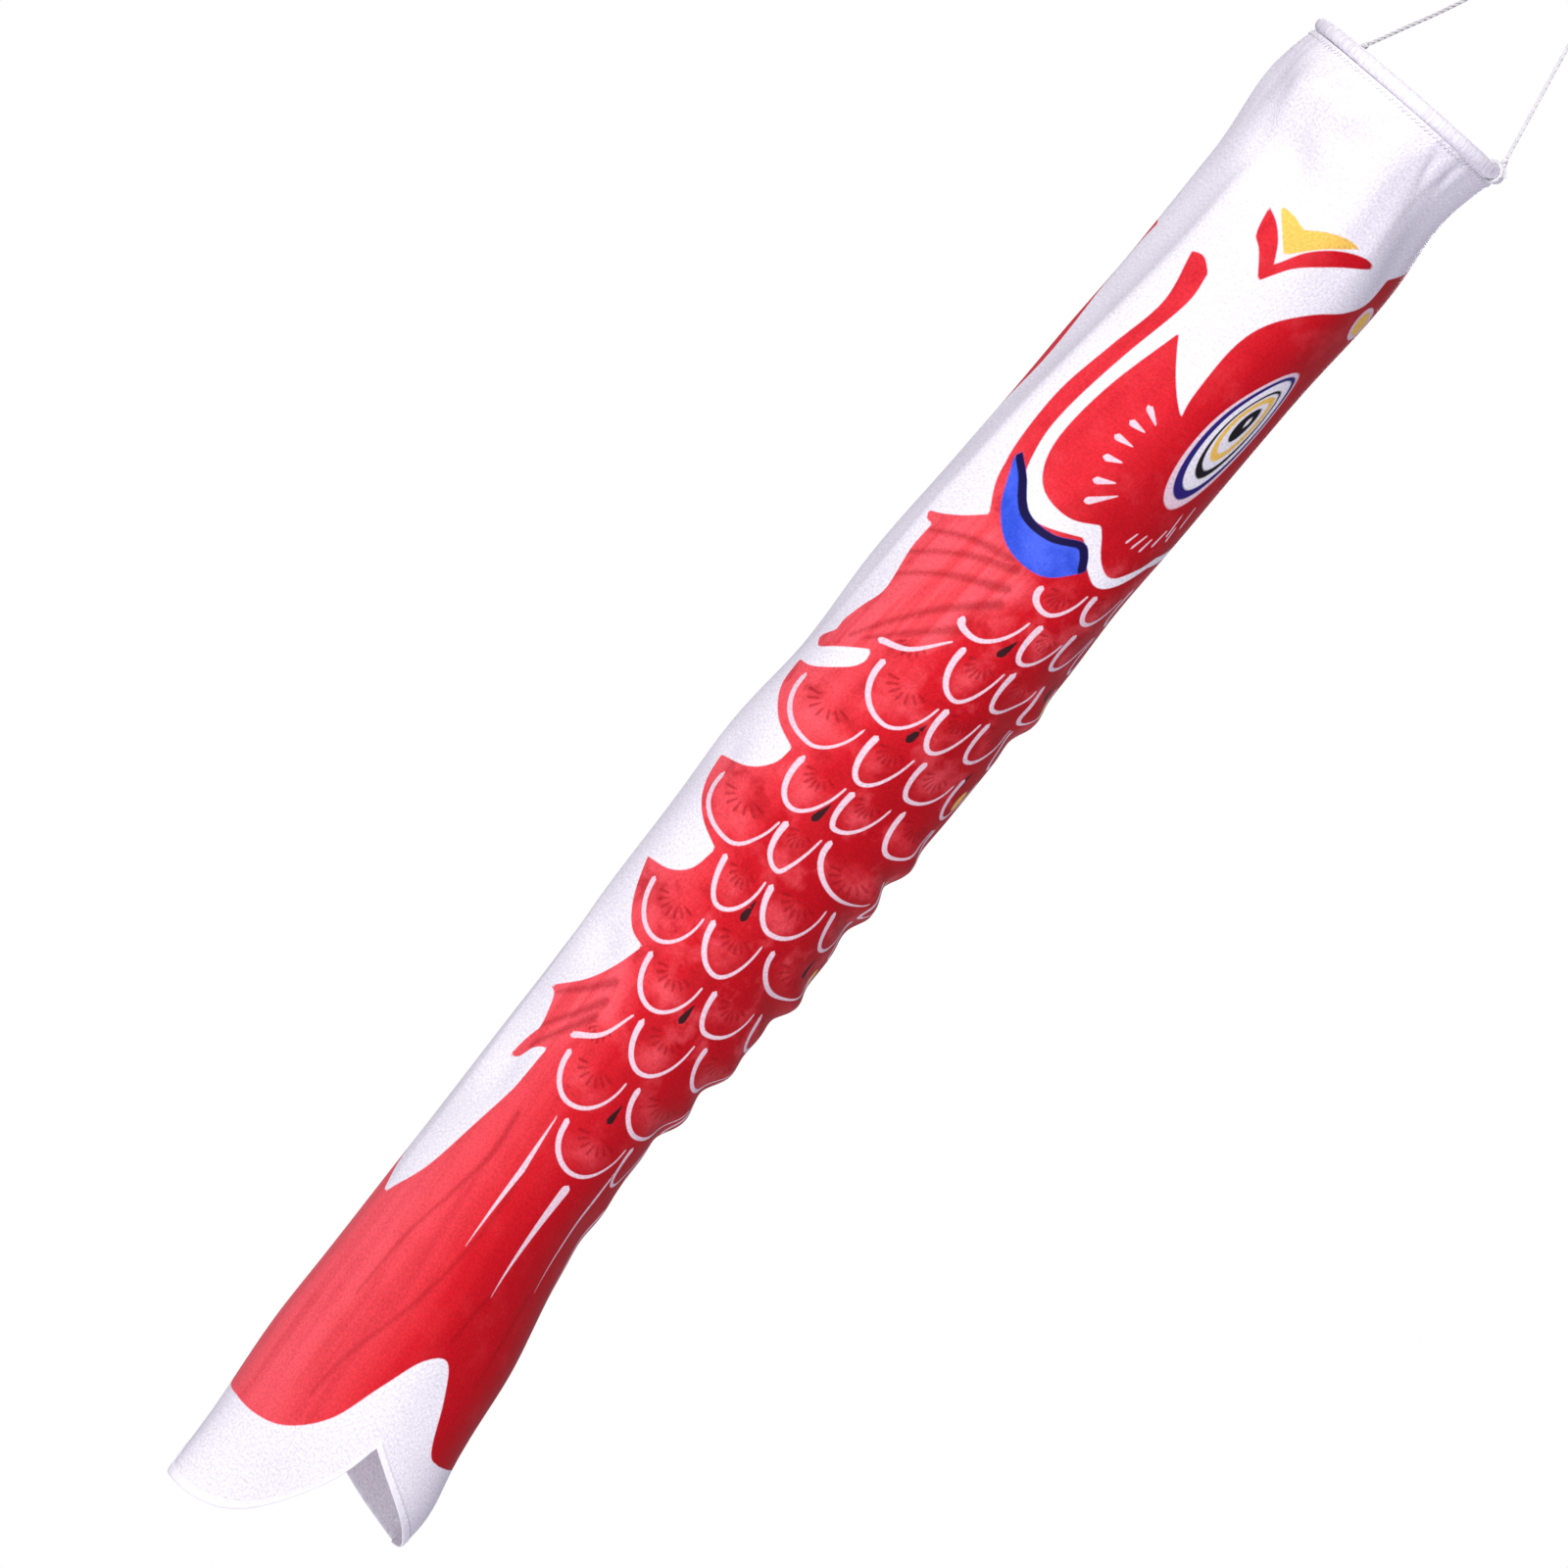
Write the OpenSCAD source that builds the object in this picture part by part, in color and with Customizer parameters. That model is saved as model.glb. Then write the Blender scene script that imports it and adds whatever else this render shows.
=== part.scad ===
// Carp streamer: a cloth fish tube that hangs from a two-leg string bridle.
// Millimetres, +Z up. The origin is the inside top of the hanging loop, where it rests on a hook.
// The viewer stands on the -Y side; the mouth is at the top and the forked tail at the bottom.

/* [Mouth hoop] */
// Outside diameter of the rolled rim
rim_d = 92.2; // [80:0.2:110]
// Diameter of the cloth casing that is rolled round the hoop
casing_d = 6.2; // [5:0.2:8]
// Diameter of the springy plastic rod that makes the hoop
rod_d = 3.2; // [2:0.2:3.6]
// How far the rim slopes down towards +X, in degrees
rim_slope = 2.75; // [0:0.25:6]
// Depth of the hoop's centre below the hook
hoop_depth = 125; // [120:1:140]

/* [Cloth] */
// Thickness of the cloth walls
cloth_t = 0.7; // [0.5:0.1:1.2]
// Length of the cloth at the belly lobe of the tail
cloth_len = 700; // [690:1:720]
// Depth of the notch between the tail's lobes, from the hoop
notch_at = 640; // [625:1:650]
// Length of the cloth at the back lobe of the tail
back_lobe_len = 672; // [655:1:680]
// Width of the hem along the tail's edge
hem_w = 4; // [3:0.5:8]
// Width of the seam allowance inside the tube
seam_w = 6; // [4:0.5:10]

/* [Bends] */
// Distance of the body bend below the hoop
body_bend_at = 225; // [215:1:235]
// Distance of the tail bend below the hoop
tail_bend_at = 480; // [470:1:490]
// Length of soft cloth that takes each bend
bend_len = 44; // [40:1:60]

/* [Bridle] */
// Diameter of the twisted white cord
cord_d = 1.5; // [1.2:0.1:1.8]
// Radius of the hanging loop, at the middle of its cord
loop_r = 7; // [6:0.5:9]
// Diameter of the cord of the hanging loop
loop_cord_d = 1.8; // [1.4:0.1:2.2]
// Diameter of the knot that holds each cord to the rim
tie_knot_d = 3.8; // [3.4:0.1:4.4]
// Diameter of the knot where the two cords meet
apex_knot_d = 5.2; // [4.6:0.1:6]

/* [Hidden] */

// Fineness of round shapes, and of the cloth round the tube and along it
$fn = 64;
cloth_sides = 48;
cloth_step = 22;
// Clearance between pieces that move on each other
gap = 0.3;
// Clearance of the seam allowances and of the thread from the cloth wall that they lie along
seam_gap = 0.8;
thread_gap = 0.3;
// Thickness of the casing's row of thread, and its distance below the casing
thread_d = 0.7;
thread_drop = 2.2;

// The hoop's centre, and the radius of its rod's centre line
hoop_c = [-23, 1, -hoop_depth];
hoop_r = (rim_d - casing_d) / 2;

// The tube's cross-section, as [distance below the hoop, middle x, middle y, half width, half depth]
SECTIONS = [
    [0, -23, 1, 44.5, 44.5], [20, -27.4, 4, 45, 45], [60, -26, 9, 43.5, 44], [110, -27.6, 16, 42.6, 43],
    [150, -29.6, 21, 42.8, 42], [200, -31.5, 26, 43.5, 41.5], [250, -32.3, 28, 44, 41],
    [300, -33.9, 28, 43.4, 40.5], [350, -36, 28, 43, 40], [400, -35.5, 28, 41.5, 39],
    [450, -37, 28, 39.5, 37], [480, -38.7, 28, 38.2, 36], [555, -37.2, 28, 38.6, 36],
    [590, -33.6, 28, 42.2, 37], [630, -31.3, 28, 44.1, 37.5], [660, -27.5, 28, 47.5, 38],
    [700, -27.5, 28, 47.5, 38]
];
// Direction of the belly line at the tail, in degrees from the viewer's side towards +X
belly_a = -60;
// Direction of the seam along the back
back_a = belly_a + 180;
// Direction of the tail's notches, in degrees from the belly line
notch_a = 80;

// Centres of the two rim knots, which are also the line that the hoop rocks on
left_knot = [-49, 36.75, -118.5];
right_knot = [19, -14.25, -121.8];
// Directions of the two ties round the hoop, in degrees from +X
left_tie_a = 126;
right_tie_a = -20;
// Horizontal direction of the line through the ties, in degrees from +X
bridle_a = atan2(right_knot.y - left_knot.y, right_knot.x - left_knot.x);

// Middle of the loop's cord at its lowest point, where the bridle's eye turns
loop_bottom = -(loop_r - loop_cord_d / 2) - loop_r;
apex_z = loop_bottom - 5;

// Routes of the two taut cords, from the rim knot up to the apex knot
LEFT_CORD = [
    [-48.1, 36.1, -116.8], [-44.9, 33.7, -110.7], [-41.7, 31.3, -104.6], [-38.4, 28.8, -98.5],
    [-35.1, 26.4, -92.2], [-31.8, 23.9, -85.6], [-28.5, 21.4, -78.7], [-25.1, 18.8, -71.7],
    [-21.7, 16.3, -64.6], [-18.3, 13.7, -57.4], [-14.9, 11.2, -50.2], [-11.5, 8.6, -43], [-8.1, 6.1, -35.8],
    [-4.7, 3.5, -28.5], [-1.4, 1.1, -20.6]
];
RIGHT_CORD = [
    [18.7, -14, -119.6], [17.5, -13.1, -112.4], [16.3, -12.2, -105.2], [15.1, -11.3, -98],
    [13.9, -10.4, -90.9], [12.7, -9.5, -83.8], [11.5, -8.6, -76.7], [10.3, -7.7, -69.6],
    [9, -6.8, -62.5], [7.8, -5.9, -55.4], [6.6, -5, -48.3], [5.4, -4.1, -41.3], [4.2, -3.2, -34.3],
    [2.9, -2.2, -27.3], [1.4, -1.1, -20.6]
];

// One measure of the tube (1 to 4, as SECTIONS lists them) at a distance below the hoop
function tube_at(depth, column) = lookup(depth, [for (s = SECTIONS) [s[0], s[column]]]);

// A point of the tube's surface: angle round it, distance below the hoop and distance outwards
function cloth_point(angle, depth, out) = [
    tube_at(depth, 1) + (tube_at(depth, 3) + out) * sin(angle),
    tube_at(depth, 2) - (tube_at(depth, 4) + out) * cos(angle),
    -hoop_depth - depth
];

// The top edge follows the sloping rim, just under the casing
function top_edge(angle) = casing_d / 2 + tan(rim_slope) * hoop_r * sin(angle);

// The tail's edge: a long belly lobe, two notches and a shorter back lobe
function from_belly(angle) = abs((angle - belly_a + 540) % 360 - 180);
function tail_edge(angle) =
    from_belly(angle) < notch_a
        ? notch_at + (cloth_len - notch_at) * (1 - pow(from_belly(angle) / notch_a, 2.8))
        : notch_at + (back_lobe_len - notch_at) * (1 - pow((180 - from_belly(angle)) / (180 - notch_a), 2));

// Rings of points (each a list of the same length) closed into one loop or into a capped run
function ring_faces(rings, count, closed) = concat(
    [for (i = [0 : rings - (closed ? 1 : 2)], j = [0 : count - 1])
        let (k = (i + 1) % rings, m = (j + 1) % count)
        [i * count + j, i * count + m, k * count + m, k * count + j]],
    closed ? [] : [[for (j = [count - 1 : -1 : 0]) j], [for (j = [0 : count - 1]) (rings - 1) * count + j]]
);

// A wall of cloth that goes all the way round, between two edges given at each angle
module cloth_wall(tops, bottoms, outer, inner) {
    rows = max(2, ceil((max(bottoms) - min(tops)) / cloth_step) + 1);
    columns = [for (i = [0 : cloth_sides - 1])
        let (angle = 360 * i / cloth_sides)
        concat(
            [for (j = [0 : rows - 1]) cloth_point(angle, tops[i] + (bottoms[i] - tops[i]) * j / (rows - 1), outer)],
            [for (j = [rows - 1 : -1 : 0]) cloth_point(angle, tops[i] + (bottoms[i] - tops[i]) * j / (rows - 1), inner)]
        )];
    polyhedron(
        points = [for (column = columns) each column],
        faces = ring_faces(cloth_sides, 2 * rows, true),
        convexity = 6
    );
}

// A level or shaped edge, listed at each angle round the tube
function level(depth) = [for (i = [0 : cloth_sides - 1]) depth];
function edge(extra) = [for (i = [0 : cloth_sides - 1]) tail_edge(360 * i / cloth_sides) + extra];
TOP_EDGE = [for (i = [0 : cloth_sides - 1]) top_edge(360 * i / cloth_sides)];

// The folded seam allowance inside the tube, along its back
module seam_run(from, to) {
    steps = ceil((to - from) / cloth_step);
    points = [for (i = [0 : steps])
        let (depth = from + (to - from) * i / steps)
        each [
            cloth_point(back_a - 0.8, depth, -cloth_t - seam_gap),
            cloth_point(back_a + 0.8, depth, -cloth_t - seam_gap),
            cloth_point(back_a + 0.9, depth, -cloth_t - seam_w), cloth_point(back_a - 0.9, depth, -cloth_t - seam_w)
        ]];
    polyhedron(points = points, faces = ring_faces(steps + 1, 4, false), convexity = 4);
}

// A round cord swept along a list of points, with two rings to each stretch of the route
module cord_run(route) {
    sides = 8;
    count = 2 * (len(route) - 1);
    middle = [for (i = [0 : count]) i % 2 == 0 ? route[i / 2] : (route[(i - 1) / 2] + route[(i + 1) / 2]) / 2];
    points = [for (i = [0 : count])
        let (
            ahead = middle[min(count, i + 1)] - middle[max(0, i - 1)],
            along = ahead / norm(ahead),
            side = cross(along, [0, 1, 0]) / norm(cross(along, [0, 1, 0])),
            other = cross(along, side)
        )
        each [for (j = [0 : sides - 1])
            middle[i] + cord_d / 2 * (cos(360 * j / sides) * side + sin(360 * j / sides) * other)]];
    polyhedron(points = points, faces = ring_faces(count + 1, sides, false), convexity = 4);
}

// A ring of round cord, flat in the XY plane
module cord_ring(radius, thickness) {
    rotate_extrude() translate([radius, 0]) circle(d = thickness);
}

// Puts what follows in the sloping plane of the hoop
module in_hoop_plane() {
    translate(hoop_c) rotate([0, rim_slope, 0]) children();
}

// A loop of cord round the rim with its knot above it
module rim_tie(direction, knot) {
    wrap_r = casing_d / 2 + cord_d / 2 + 0.25;
    in_hoop_plane() rotate([0, 0, direction]) translate([hoop_r, 0, 0]) rotate([90, 0, 0])
        cord_ring(wrap_r, cord_d);
    translate(knot) sphere(d = tie_knot_d);
}

module hanging_loop() {
    color("white")
    translate([0, 0, -(loop_r - loop_cord_d / 2)]) rotate([0, 0, bridle_a]) rotate([90, 0, 0])
        cord_ring(loop_r, loop_cord_d);
}

module apex_knot() {
    eye_r = loop_cord_d / 2 + cord_d / 2 + 0.5;
    color("whitesmoke") {
        translate([0, 0, loop_bottom]) rotate([0, 0, bridle_a]) rotate([0, 90, 0]) cord_ring(eye_r, cord_d);
        translate([0, 0, apex_z]) sphere(d = apex_knot_d);
    }
}

module left_bridle_cord() { color("white") cord_run(LEFT_CORD); }
module right_bridle_cord() { color("white") cord_run(RIGHT_CORD); }
module left_rim_tie() { color("whitesmoke") rim_tie(left_tie_a, left_knot); }
module right_rim_tie() { color("whitesmoke") rim_tie(right_tie_a, right_knot); }

// The rod is bent to a circle and its ends meet inside the joiner
module mouth_hoop() {
    color("gainsboro") in_hoop_plane() cord_ring(hoop_r, rod_d);
}

module hoop_joiner() {
    color("silver") in_hoop_plane() rotate([0, 0, 200]) rotate_extrude(angle = 24)
        translate([hoop_r, 0]) difference() {
            circle(d = rod_d + 1.4);
            circle(d = rod_d + 0.1);
        }
}

module hoop_casing() {
    color("lavender") in_hoop_plane() rotate_extrude() translate([hoop_r, 0]) difference() {
        circle(d = casing_d);
        circle(d = rod_d + 1.6);
    }
}

// One row of thread sews the casing shut and lies on the cloth just under it
module casing_stitching() {
    color("white") cloth_wall(
        TOP_EDGE + level(thread_drop), TOP_EDGE + level(thread_drop + thread_d), thread_gap + thread_d, thread_gap);
}

module head_cloth() {
    color("white") cloth_wall(TOP_EDGE, level(body_bend_at - bend_len / 2), 0, -cloth_t);
}
module head_seam() { color("white") seam_run(casing_d + 4, body_bend_at - bend_len / 2); }

module body_bend_cloth() {
    color("indianred") cloth_wall(
        level(body_bend_at - bend_len / 2 + gap), level(body_bend_at + bend_len / 2 - gap), 0, -cloth_t);
}

module middle_cloth() {
    color("crimson") cloth_wall(
        level(body_bend_at + bend_len / 2), level(tail_bend_at - bend_len / 2), 0, -cloth_t);
}
module middle_seam() { color("white") seam_run(body_bend_at + bend_len / 2, tail_bend_at - bend_len / 2); }

module tail_bend_cloth() {
    color("indianred") cloth_wall(
        level(tail_bend_at - bend_len / 2 + gap), level(tail_bend_at + bend_len / 2 - gap), 0, -cloth_t);
}

module tail_cloth() {
    color("crimson") cloth_wall(level(tail_bend_at + bend_len / 2), edge(0), 0, -cloth_t);
}
module tail_seam() { color("white") seam_run(tail_bend_at + bend_len / 2, back_lobe_len - hem_w); }

// The tail's edge is turned back on the outside and sewn down
module tail_hem() {
    color("white") cloth_wall(edge(-hem_w), edge(0), 0.6, 0.05);
}

hanging_loop();
apex_knot();
left_bridle_cord();
right_bridle_cord();
left_rim_tie();
right_rim_tie();
mouth_hoop();
hoop_joiner();
hoop_casing();
casing_stitching();
head_cloth();
head_seam();
body_bend_cloth();
middle_cloth();
middle_seam();
tail_bend_cloth();
tail_cloth();
tail_seam();
tail_hem();
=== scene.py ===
"""Carp streamer: the looks of a printed satin fish tube that hangs from a two-leg string bridle.

Metres, +Z up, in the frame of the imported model: the origin is the inside top of the hanging loop.
The print is drawn in degrees from the belly line towards the back and in millimetres below the rim,
and it is the same on both flanks.
"""
import math

import bpy
import numpy as np
from mathutils import Matrix, Vector


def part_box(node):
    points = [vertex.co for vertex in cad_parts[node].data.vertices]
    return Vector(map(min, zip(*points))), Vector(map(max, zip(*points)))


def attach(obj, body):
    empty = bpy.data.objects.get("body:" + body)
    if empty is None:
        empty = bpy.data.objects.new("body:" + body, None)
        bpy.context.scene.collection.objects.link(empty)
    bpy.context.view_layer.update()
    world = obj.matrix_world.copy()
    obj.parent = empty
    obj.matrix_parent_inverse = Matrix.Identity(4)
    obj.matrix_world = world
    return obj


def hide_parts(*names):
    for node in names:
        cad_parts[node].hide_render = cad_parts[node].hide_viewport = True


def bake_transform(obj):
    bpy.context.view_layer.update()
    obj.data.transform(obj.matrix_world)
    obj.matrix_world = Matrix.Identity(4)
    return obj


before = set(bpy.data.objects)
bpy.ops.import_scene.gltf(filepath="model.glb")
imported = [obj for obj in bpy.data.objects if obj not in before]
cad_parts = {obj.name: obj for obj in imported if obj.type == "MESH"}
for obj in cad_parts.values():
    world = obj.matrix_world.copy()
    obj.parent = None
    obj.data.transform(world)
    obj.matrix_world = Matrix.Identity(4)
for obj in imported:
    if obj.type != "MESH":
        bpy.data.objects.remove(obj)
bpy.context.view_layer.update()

bl_info = {
    "name": "Carp Streamer",
    "version": (1, 0, 0),
    "blender": (4, 5, 0),
    "location": "3D View > Sidebar > Carp",
    "description": "Builds a hanging carp streamer of printed satin with its hoop and bridle",
    "category": "Object",
}

MM = 0.001

# The hoop and the tube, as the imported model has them
HOOP_LOW, HOOP_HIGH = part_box("mouth_hoop")
HOOP_CENTRE = (HOOP_LOW + HOOP_HIGH) / 2
HOOP_R = 0.043
RIM_SLOPE = math.radians(2.75)
CASING_R = 0.0031
BACK_LOBE = 672.0
BELLY_LOBE = 700.0
NOTCH = 640.0
TAIL_BELLY = -60.0
NOTCH_TURN = 80.0
# Distance below the hoop, middle x, middle y, half width and half depth of the tube, in millimetres
SECTIONS = np.array([
    (0, -23, 1, 44.5, 44.5), (20, -27.4, 4, 45, 45), (60, -26, 9, 43.5, 44), (110, -27.6, 16, 42.6, 43),
    (150, -29.6, 21, 42.8, 42), (200, -31.5, 26, 43.5, 41.5), (250, -32.3, 28, 44, 41),
    (300, -33.9, 28, 43.4, 40.5), (350, -36, 28, 43, 40), (400, -35.5, 28, 41.5, 39),
    (450, -37, 28, 39.5, 37), (480, -38.7, 28, 38.2, 36), (555, -37.2, 28, 38.6, 36),
    (590, -33.6, 28, 42.2, 37), (630, -31.3, 28, 44.1, 37.5), (660, -27.5, 28, 47.5, 38),
    (700, -27.5, 28, 47.5, 38),
], float)
# The belly line turns a little round the tube on its way down: distance below the hoop, degrees
BELLY_LINE = np.array([
    (0, -58), (98, -61), (150, -61.5), (185, -67), (235, -74.5), (310, -80), (370, -83), (420, -79),
    (464, -73), (500, -68), (560, -65), (700, -64),
], float)
# A crease that a flat packed tube keeps, in the same measures
CREASE_LINE = np.array([
    (0, -41), (50, -41), (90, -44), (154, -51), (205, -56), (250, -63), (300, -74), (340, -86),
], float)
# How far the flat part stands out, by degrees beyond the crease, where it is widest
FLAT_PART = np.array([
    (-70, -0.3), (-30, 0.2), (-12, 1.2), (0, 2.2), (10, -0.9), (20, -2.8), (30, -3.25), (40, -2.5),
    (52, -0.3), (64, 0.2), (80, 0),
], float)
# Hollows and swells under the rim: height, degrees and spread, depth and spread, and degrees that it
# leans for each millimetre of depth
RIM_SWELLS = [
    (-10, 32, 23, 46, 13, 0), (4.5, 31, 23, 17, 8, 0), (-2.5, 54, 9, 27, 8, 0), (-2, 43, 3.5, 13, 4, 0),
    (-1.5, 60, 3, 12, 3, 0), (1.5, 42, 8, 12, 5, 0), (2.6, 76, 12, 36, 34, 0), (-4.2, 114, 20, 42, 28, 0.2),
    (1, 92, 7, 40, 26, 0.1), (-1.3, 84, 3, 14, 9, 0.5), (-1.3, 100, 3, 12, 8, 0.4),
    (-3, -95, 24, 40, 22, 0), (-1.6, -150, 20, 60, 26, 0),
]
# Short folds on the back: depth, spread and height
BACK_FOLDS = [
    (268, 7, 2.2), (341, 6, 2.4), (362, 7, 2.8), (408, 6, 2.6), (447, 7, 2.4), (472, 7, 2.6),
    (520, 10, 1.2),
]
# Dents beside the belly and long soft folds of the tail: height, degrees and spread, depth and spread
TAIL_DENTS = [
    (-2.6, 28, 15, 437, 9), (-2.6, 20, 15, 498, 15), (-1.4, 24, 12, 350, 8), (-1.6, 62, 10, 590, 46),
    (-2.0, -30, 15, 437, 9), (-1.6, -60, 12, 560, 50), (-1.0, 100, 11, 585, 40), (1.4, 40, 9, 605, 50),
]
# The line that the print's angles are counted from, which lies a little in front of the belly line
PRINT_LINE = np.array([
    (0, -50), (200, -50), (260, -66), (370, -82), (450, -72), (500, -64), (700, -64),
], float)
# Width of one degree of cloth round the tube, in millimetres
DEGREE = 0.75
# The drawing sits this much nearer the rim than its depths say, at the rim
PRINT_RISE = 4.5

# Where the fish is cut in two pieces of mesh, and the stretch of cloth at each bend of the fish, in
# millimetres; nothing here bends the cloth
HALF_CUT = 350.0
CLOTH_TOP = 3.1
# Rows above the first depth follow the sloping rim, and rows below the second the tail's edge
LEVEL_FROM, LEVEL_TO = 20.0, 560.0
# The hem lies near this depth, and its stitches repeat at this length, in metres
HEM_DEPTH = 690.0
STITCH_PITCH = 0.0026
BODY_BEND = (203.0, 247.0)
TAIL_BEND = (458.0, 502.0)

# The bridle
LEFT_ROUTE = [
    (-0.0481, 0.0361, -0.1168), (-0.0449, 0.0337, -0.1107), (-0.0417, 0.0313, -0.1046),
    (-0.0384, 0.0288, -0.0985), (-0.0351, 0.0264, -0.0922), (-0.0318, 0.0239, -0.0856),
    (-0.0285, 0.0214, -0.0787), (-0.0251, 0.0188, -0.0717), (-0.0217, 0.0163, -0.0646),
    (-0.0183, 0.0137, -0.0574), (-0.0149, 0.0112, -0.0502), (-0.0115, 0.0086, -0.043),
    (-0.0081, 0.0061, -0.0358), (-0.0047, 0.0035, -0.0285), (-0.0014, 0.0011, -0.0206),
]
RIGHT_ROUTE = [
    (0.0187, -0.014, -0.1196), (0.0175, -0.0131, -0.1124), (0.0163, -0.0122, -0.1052),
    (0.0151, -0.0113, -0.098), (0.0139, -0.0104, -0.0909), (0.0127, -0.0095, -0.0838),
    (0.0115, -0.0086, -0.0767), (0.0103, -0.0077, -0.0696), (0.009, -0.0068, -0.0625),
    (0.0078, -0.0059, -0.0554), (0.0066, -0.005, -0.0483), (0.0054, -0.0041, -0.0413),
    (0.0042, -0.0032, -0.0343), (0.0029, -0.0022, -0.0273), (0.0014, -0.0011, -0.0206),
]
LEFT_KNOT = Vector((-0.049, 0.03675, -0.1185))
RIGHT_KNOT = Vector((0.019, -0.01425, -0.1218))
LEFT_TIE = math.radians(126)
RIGHT_TIE = math.radians(-20)
# A cord's strands: how many, radius of each as a share of the cord's diameter, how much fatter they
# are pressed, sides of each, and the distance between their rings
STRANDS = 3
STRAND_SHARE = 0.2321
STRAND_SPREAD = 1.04
STRAND_SIDES = 7
CORD_STEP = 0.00045
LOOP_R = 0.007
LOOP_Z = -0.0061
APEX_Z = -0.0181
EYE_R = 0.00215
# Size of the knots, and the gap between a tie and the rim it goes round
APEX_KNOT = 0.0021
RIM_KNOT = 0.0017
TIE_GAP = 0.0001

# The stage: what the camera looks at, how far the view falls over the camera's distance, and the floor
TARGET = Vector((-0.049, 0.02, -0.4735))
CAMERA_DROP = -0.2758
SENSOR = 36
BACK_LIGHT = 30
FLOOR_R = 2.2
FLOOR_Z = -1.25


# ---------------------------------------------------------------- settings

def number(name, description, default, low, high, **more):
    return bpy.props.FloatProperty(
        name=name, description=description, default=default, min=low, max=high, **more)


def metres(name, description, default, low, high):
    return number(name, description, default, low, high, unit="LENGTH")


def whole(name, description, default, low, high):
    return bpy.props.IntProperty(name=name, description=description, default=default, min=low, max=high)


def colour(name, description, default):
    return bpy.props.FloatVectorProperty(
        name=name, description=description, default=default, subtype="COLOR", min=0, max=1)


class CarpClothSettings(bpy.types.PropertyGroup):
    thickness: metres("Cloth thickness", "Thickness of the satin", 0.00035, 0.0001, 0.001)
    columns: whole("Columns", "Faces round the tube", 192, 48, 240)
    row_step: metres("Row step", "Distance between rows of faces along the tube", 0.0015, 0.001, 0.01)
    folds: number("Folds", "Depth of the soft folds, as a share of the made ones", 1.0, 0.0, 2.0)
    gathers: whole("Gathers", "Small pleats under the rim", 54, 0, 120)
    seam_width: metres("Seam allowance", "Width of the sewn edge inside the back", 0.006, 0.002, 0.01)
    hem_width: metres("Hem", "Width of the turned edge at the tail", 0.004, 0.002, 0.008)


class CarpPrintSettings(bpy.types.PropertyGroup):
    white: colour("Satin", "Unprinted cloth", (0.90, 0.87, 0.93))
    red: colour("Red", "Body colour", (0.72, 0.008, 0.019))
    fin: colour("Fin red", "Lighter red of the fins", (0.94, 0.11, 0.135))
    deep: colour("Deep red", "Streaks and scale marks", (0.43, 0.001, 0.006))
    line: colour("Line", "Pale lines of the scales", (0.83, 0.62, 0.70))
    blue: colour("Blue", "Gill crescent", (0.033, 0.085, 0.66))
    navy: colour("Navy", "Eye ring and the edge of the crescent", (0.022, 0.013, 0.17))
    yellow: colour("Yellow", "Nose and eye ring", (0.93, 0.58, 0.11))
    black: colour("Black", "Pupil and drops", (0.008, 0.007, 0.01))


class CarpBridleSettings(bpy.types.PropertyGroup):
    cord: metres("Cord", "Diameter of the twisted cord", 0.0015, 0.001, 0.003)
    loop_cord: metres("Loop cord", "Diameter of the hanging loop's cord", 0.0018, 0.001, 0.003)
    lay: metres("Lay", "Length of one turn of the strands", 0.0075, 0.003, 0.02)


class CarpStageSettings(bpy.types.PropertyGroup):
    distance: metres("Camera distance", "From the camera to the fish", 4.0, 1.0, 10.0)
    width: metres("View width", "Width of the view at the fish", 0.5944, 0.3, 1.5)
    roll: number("Roll", "Turn of the picture about the view", math.radians(38.2), -math.pi, math.pi,
                 subtype="ANGLE")
    key: number("Key light", "Power of the large soft light", 124.0, 0, 1000, unit="POWER")
    fill: number("Fill light", "Power of the weak light on the other side", 42.0, 0, 1000, unit="POWER")


# ---------------------------------------------------------------- the shape of the tube

def smooth_at(stations, values, x):
    """Smooth curve that passes through the values at the stations."""
    slopes = np.gradient(values, stations)
    x = np.clip(x, stations[0], stations[-1])
    k = np.clip(np.searchsorted(stations, x, side="right") - 1, 0, len(stations) - 2)
    span = stations[k + 1] - stations[k]
    t = (x - stations[k]) / span
    return (
        (2 * t**3 - 3 * t**2 + 1) * values[k] + (t**3 - 2 * t**2 + t) * span * slopes[k]
        + (3 * t**2 - 2 * t**3) * values[k + 1] + (t**3 - t**2) * span * slopes[k + 1]
    )


def belly_at(depth):
    """Direction of the belly line, in degrees from the viewer's side towards +X."""
    return smooth_at(BELLY_LINE[:, 0], BELLY_LINE[:, 1], depth)


def tube_point(angle, depth, out):
    """Points of the tube: angle round it in degrees, and depth and distance outwards in millimetres."""
    x, y, w, d = (smooth_at(SECTIONS[:, 0], SECTIONS[:, c], depth) for c in (1, 2, 3, 4))
    a = np.radians(angle)
    return np.stack([
        (x + (w + out) * np.sin(a)) * MM, (y - (d + out) * np.cos(a)) * MM,
        HOOP_CENTRE.z - np.asarray(depth) * MM + 0 * a,
    ], axis=-1)


def top_edge(angle):
    """Depth of the cloth's top edge, which follows the sloping rim."""
    return CLOTH_TOP + math.tan(RIM_SLOPE) * HOOP_R / MM * np.sin(np.radians(angle))


def tail_edge(angle):
    """Depth of the tail's edge: a long belly lobe, two notches and a shorter back lobe."""
    p = np.abs((angle - TAIL_BELLY + 540) % 360 - 180)
    belly = NOTCH + (BELLY_LOBE - NOTCH) * (1 - (np.minimum(p, NOTCH_TURN) / NOTCH_TURN) ** 2.8)
    back = NOTCH + (BACK_LOBE - NOTCH) * (
        1 - ((180 - np.maximum(p, NOTCH_TURN)) / (180 - NOTCH_TURN)) ** 2)
    return np.where(p < NOTCH_TURN, belly, back)


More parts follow.
